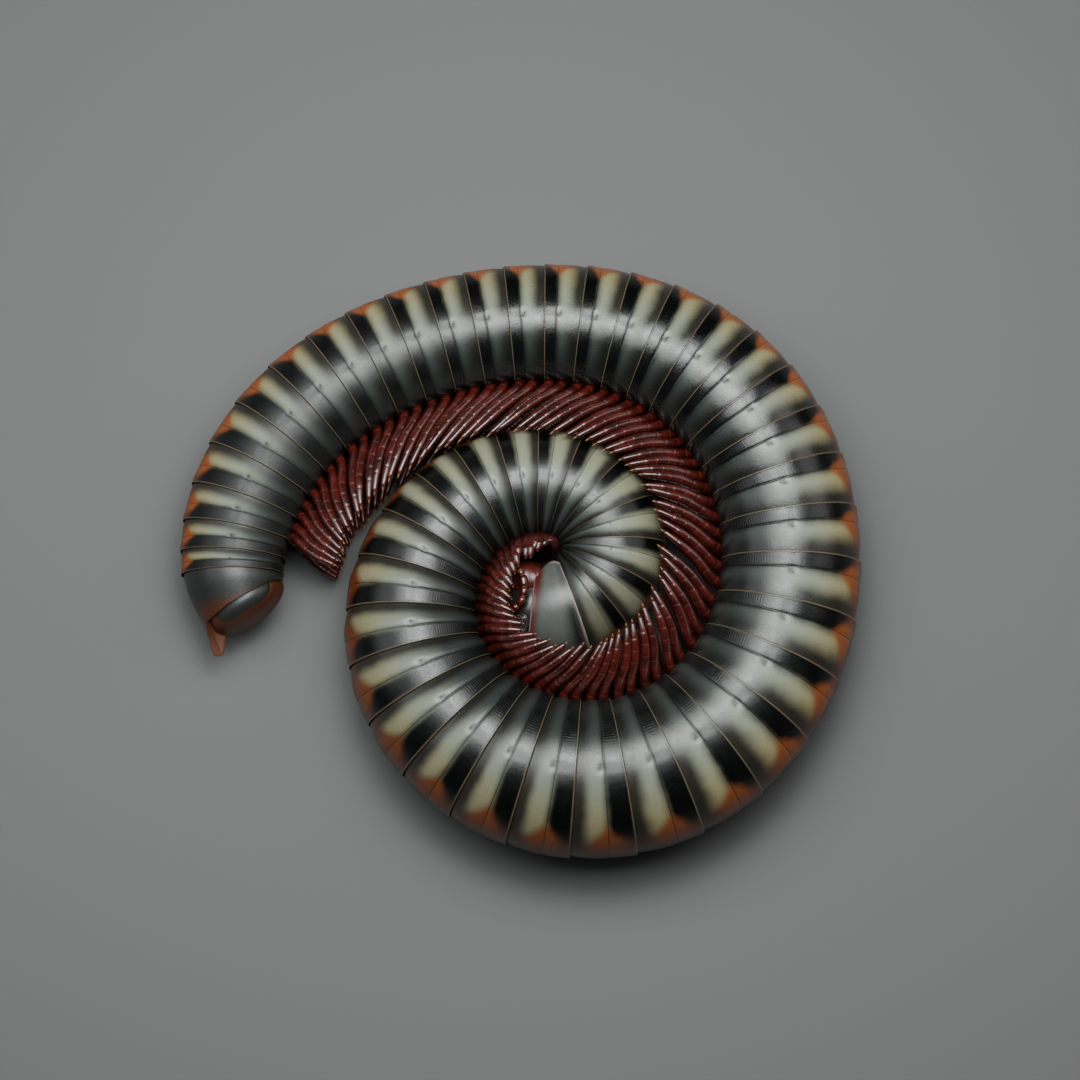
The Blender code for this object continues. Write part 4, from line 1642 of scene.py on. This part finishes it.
    def valve(self, side: Side, name: str, finish: bpy.types.Material) -> bpy.types.Object:
        """Half of the pair of bulging plates that close the gut, with a lip where they meet.

        Args:
            side: the animal's right or left side.
            name: the object's name.
            finish: its material.

        Returns:
            The object.
        """
        r = self.radius
        tilt = math.radians(self.valve_tilt)
        away, back, up = np.eye(3)
        out = away * math.cos(tilt) - back * math.sin(tilt)
        along = back * math.cos(tilt) + away * math.sin(tilt)
        centre = np.array([1.78, -0.20 * r, 0.0]) + 0.12 * out + 0.03 * side * up
        long_, wide, bulge = 0.78 * r, 0.76 * r, 0.40 * r
        rows, columns = 40, 97
        lift = np.linspace(-0.5, np.pi / 2, rows)[:-1]
        turn = np.linspace(0, np.pi, columns)
        lift, turn = np.meshgrid(lift, turn, indexing="ij")
        x = np.cos(np.maximum(lift, 0)) * np.cos(turn)
        y = np.cos(np.maximum(lift, 0)) * np.sin(turn)
        h = np.sin(lift)
        fromlip = y * wide
        lip = np.exp(-((fromlip / self.lip_width) ** 2)) * step(h, -0.1, 0.25)
        inset = np.hypot(x * long_, h * bulge) * (1 / np.hypot(x, h).clip(0.05) - 1)
        band = 1 - step(inset, self.band - 0.05, self.band + 0.05)
        groove = np.exp(-(((inset - self.band) / 0.07) ** 2))
        grow = 1 + (self.lip_height * lip - self.groove_depth * groove) / bulge
        points = (
            centre
            + (x * long_)[..., None] * along * grow[..., None]
            + (fromlip * side)[..., None] * up
            + (h * bulge * grow)[..., None] * out
        )
        peak = centre + bulge * out * (1 + self.lip_height / bulge)
        points = np.concatenate([points.reshape(-1, 3), [peak]])
        count = lift.shape[0]
        top = len(points) - 1
        skin = grid_faces(count, columns, closed=False)
        cap = fan_faces((count - 1) * columns, columns, top)[:-1]
        left = np.arange(count) * columns
        flat = np.concatenate([left, [top], left[::-1] + columns - 1])[None]
        bottom = np.arange(columns)[None, ::-1]
        attributes = {
            "tone": np.concatenate([0.35 * np.exp(-((fromlip.ravel() / 0.9) ** 2)), [1.0]]),
            "rim": np.concatenate([np.maximum(lip, band).ravel(), [1.0]]),
        }
        made = new_object(name, self.frame.point(points), [skin, cap, flat, bottom], finish, attributes)
        point_out(made.data)
        return made


class Lamp(NamedTuple):
    """A soft light: where it hangs, its face's two widths, its power in watts and its colour."""

    name: str
    place: tuple[float, float, float]
    sizes: tuple[float, float]
    power: float
    tint: Colour


@dataclass
class Studio:
    """The camera over the photograph's frame, the grey floor and the soft lights."""

    target: tuple[float, float, float] = (1.263, 1.185, 4.0)
    distance: float = 230.0
    frame_width: float = 67.5
    elevation: float = 80.0
    sensor: float = 36.0
    floor_half: float = 600.0
    floor_tone: Colour = (0.13, 0.13, 0.13)
    floor_roughness: float = 0.7
    floor_ior: float = 1.45
    sky: Colour = (0.95, 0.97, 1.0)
    sky_strength: float = 0.024
    lamps: tuple[Lamp, ...] = (
        Lamp("overhead", (0.0, 20.0, 112.0), (108.0, 70.0), 0.165, (0.94, 1.0, 0.97)),
        Lamp("core", (4.0, 22.0, 111.0), (38.0, 24.0), 0.046, (0.96, 1.0, 0.98)),
        Lamp("left", (-120.0, 20.0, 112.0), (110.0, 110.0), 0.055, (0.96, 1.0, 1.0)),
        Lamp("right", (230.0, 80.0, 185.0), (160.0, 160.0), 0.12, (1.0, 1.0, 1.0)),
    )

    def camera(self) -> None:
        """Sets the camera south of the animal, almost straight over it."""
        data = bpy.data.cameras.new("camera")
        data.sensor_width = self.sensor
        data.lens = self.sensor * self.distance / self.frame_width
        data.clip_start = 0.01
        made = bpy.data.objects.new("camera", data)
        bpy.context.scene.collection.objects.link(made)
        lift = math.radians(self.elevation)
        back = Vector((0.0, -math.cos(lift), math.sin(lift)))
        made.location = (Vector(self.target) + self.distance * back) * MM
        made.rotation_euler = back.to_track_quat("Z", "Y").to_euler()
        bpy.context.scene.camera = made

    def light(self, lamp: Lamp) -> None:
        """Adds a soft light that faces the animal.

        Args:
            lamp: the light.
        """
        data = bpy.data.lights.new(lamp.name, "AREA")
        data.shape = "RECTANGLE"
        data.size, data.size_y = (size * MM for size in lamp.sizes)
        data.energy = lamp.power
        data.color = lamp.tint
        made = bpy.data.objects.new(lamp.name, data)
        bpy.context.scene.collection.objects.link(made)
        made.location = Vector(lamp.place) * MM
        towards = Vector(lamp.place) - Vector(self.target)
        made.rotation_euler = towards.to_track_quat("Z", "Y").to_euler()

    def build(self) -> None:
        """Sets up the floor, the world, the lights and the camera."""
        half = self.floor_half
        corners = np.array([[-half, -half, 0], [half, -half, 0], [half, half, 0], [-half, half, 0]])
        paint = Paint("floor")
        paint.set(self.floor_tone, self.floor_roughness, self.floor_ior)
        floor = new_object("floor", corners, [np.array([[0, 1, 2, 3]])], paint.material)
        world = bpy.data.worlds.new("world")
        world.use_nodes = True
        sky = world.node_tree.nodes["Background"]
        sky.inputs["Color"].default_value = (*self.sky, 1.0)
        sky.inputs["Strength"].default_value = self.sky_strength
        bpy.context.scene.world = world
        for lamp in self.lamps:
            self.light(lamp)
        self.camera()


def settle(piece: bpy.types.Object, slot: str, *nodes: str) -> None:
    """Makes a piece ride with the body and hides the solids that it stands for.

    Args:
        piece: the piece.
        slot: not used.
        nodes: the solids' names.
    """
    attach(piece, BODY)
    if nodes:
        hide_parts(*nodes)
    LOG.info("%s: %d faces", piece.name, len(piece.data.polygons))


def main() -> None:
    """Builds each part of the animal in order, and the studio."""
    logging.basicConfig(level=logging.INFO, format="%(name)s %(message)s")
    plan = BodyPlan()
    shell = ShellFinish().material()
    for number, piece in enumerate(Rings(plan).build(shell), 1):
        settle(piece, "ring_shell", f"trunk_{number:02d}")
    red = LimbFinish().material()
    limbs = LimbRecipe()
    head = Head(plan, limbs)
    for piece in Legs(plan, limbs, head.room).build(red):
        settle(piece, "leg")
    shield = PlateFinish(
        "collum", body=(0.094, 0.098, 0.094), second=(0.075, 0.013, 0.010), rim=(0.27, 0.19, 0.17),
        change=(0.1, 0.9),
    )
    settle(Shield(plan).build(shield.material()), "collum", "collum")
    face = PlateFinish(
        "face", body=(0.026, 0.022, 0.022), second=(0.080, 0.012, 0.008), rim=(0.24, 0.09, 0.05),
        change=(0.25, 0.8),
    )
    settle(head.capsule(face.material()), "head", "head")
    lens = LensFinish().material()
    lenses = head.lens_recipe()
    feeler = LimbFinish("feeler").material()
    for side in Side:
        word = side.name.lower()
        settle(head.eye(side, f"lenses_{word}", lens, lenses), "eye", f"eye_{word}")
        settle(head.antenna(side, f"feeler_{word}", feeler), "antenna", f"antenna_{word}")
    tail = Tail(plan)
    horn = PlateFinish(
        "tail", body=(0.020, 0.022, 0.020), second=(0.085, 0.024, 0.008), rim=(0.065, 0.017, 0.006),
        change=(0.15, 0.75), roughness=0.40,
    ).material()
    settle(tail.ring(horn), "tail_shell", "preanal_ring")
    for side in Side:
        word = side.name.lower()
        settle(tail.valve(side, f"valve_{word}", horn), "tail_shell", f"anal_valve_{word}")
    Studio().build()


if __name__ == "__main__":
    main()
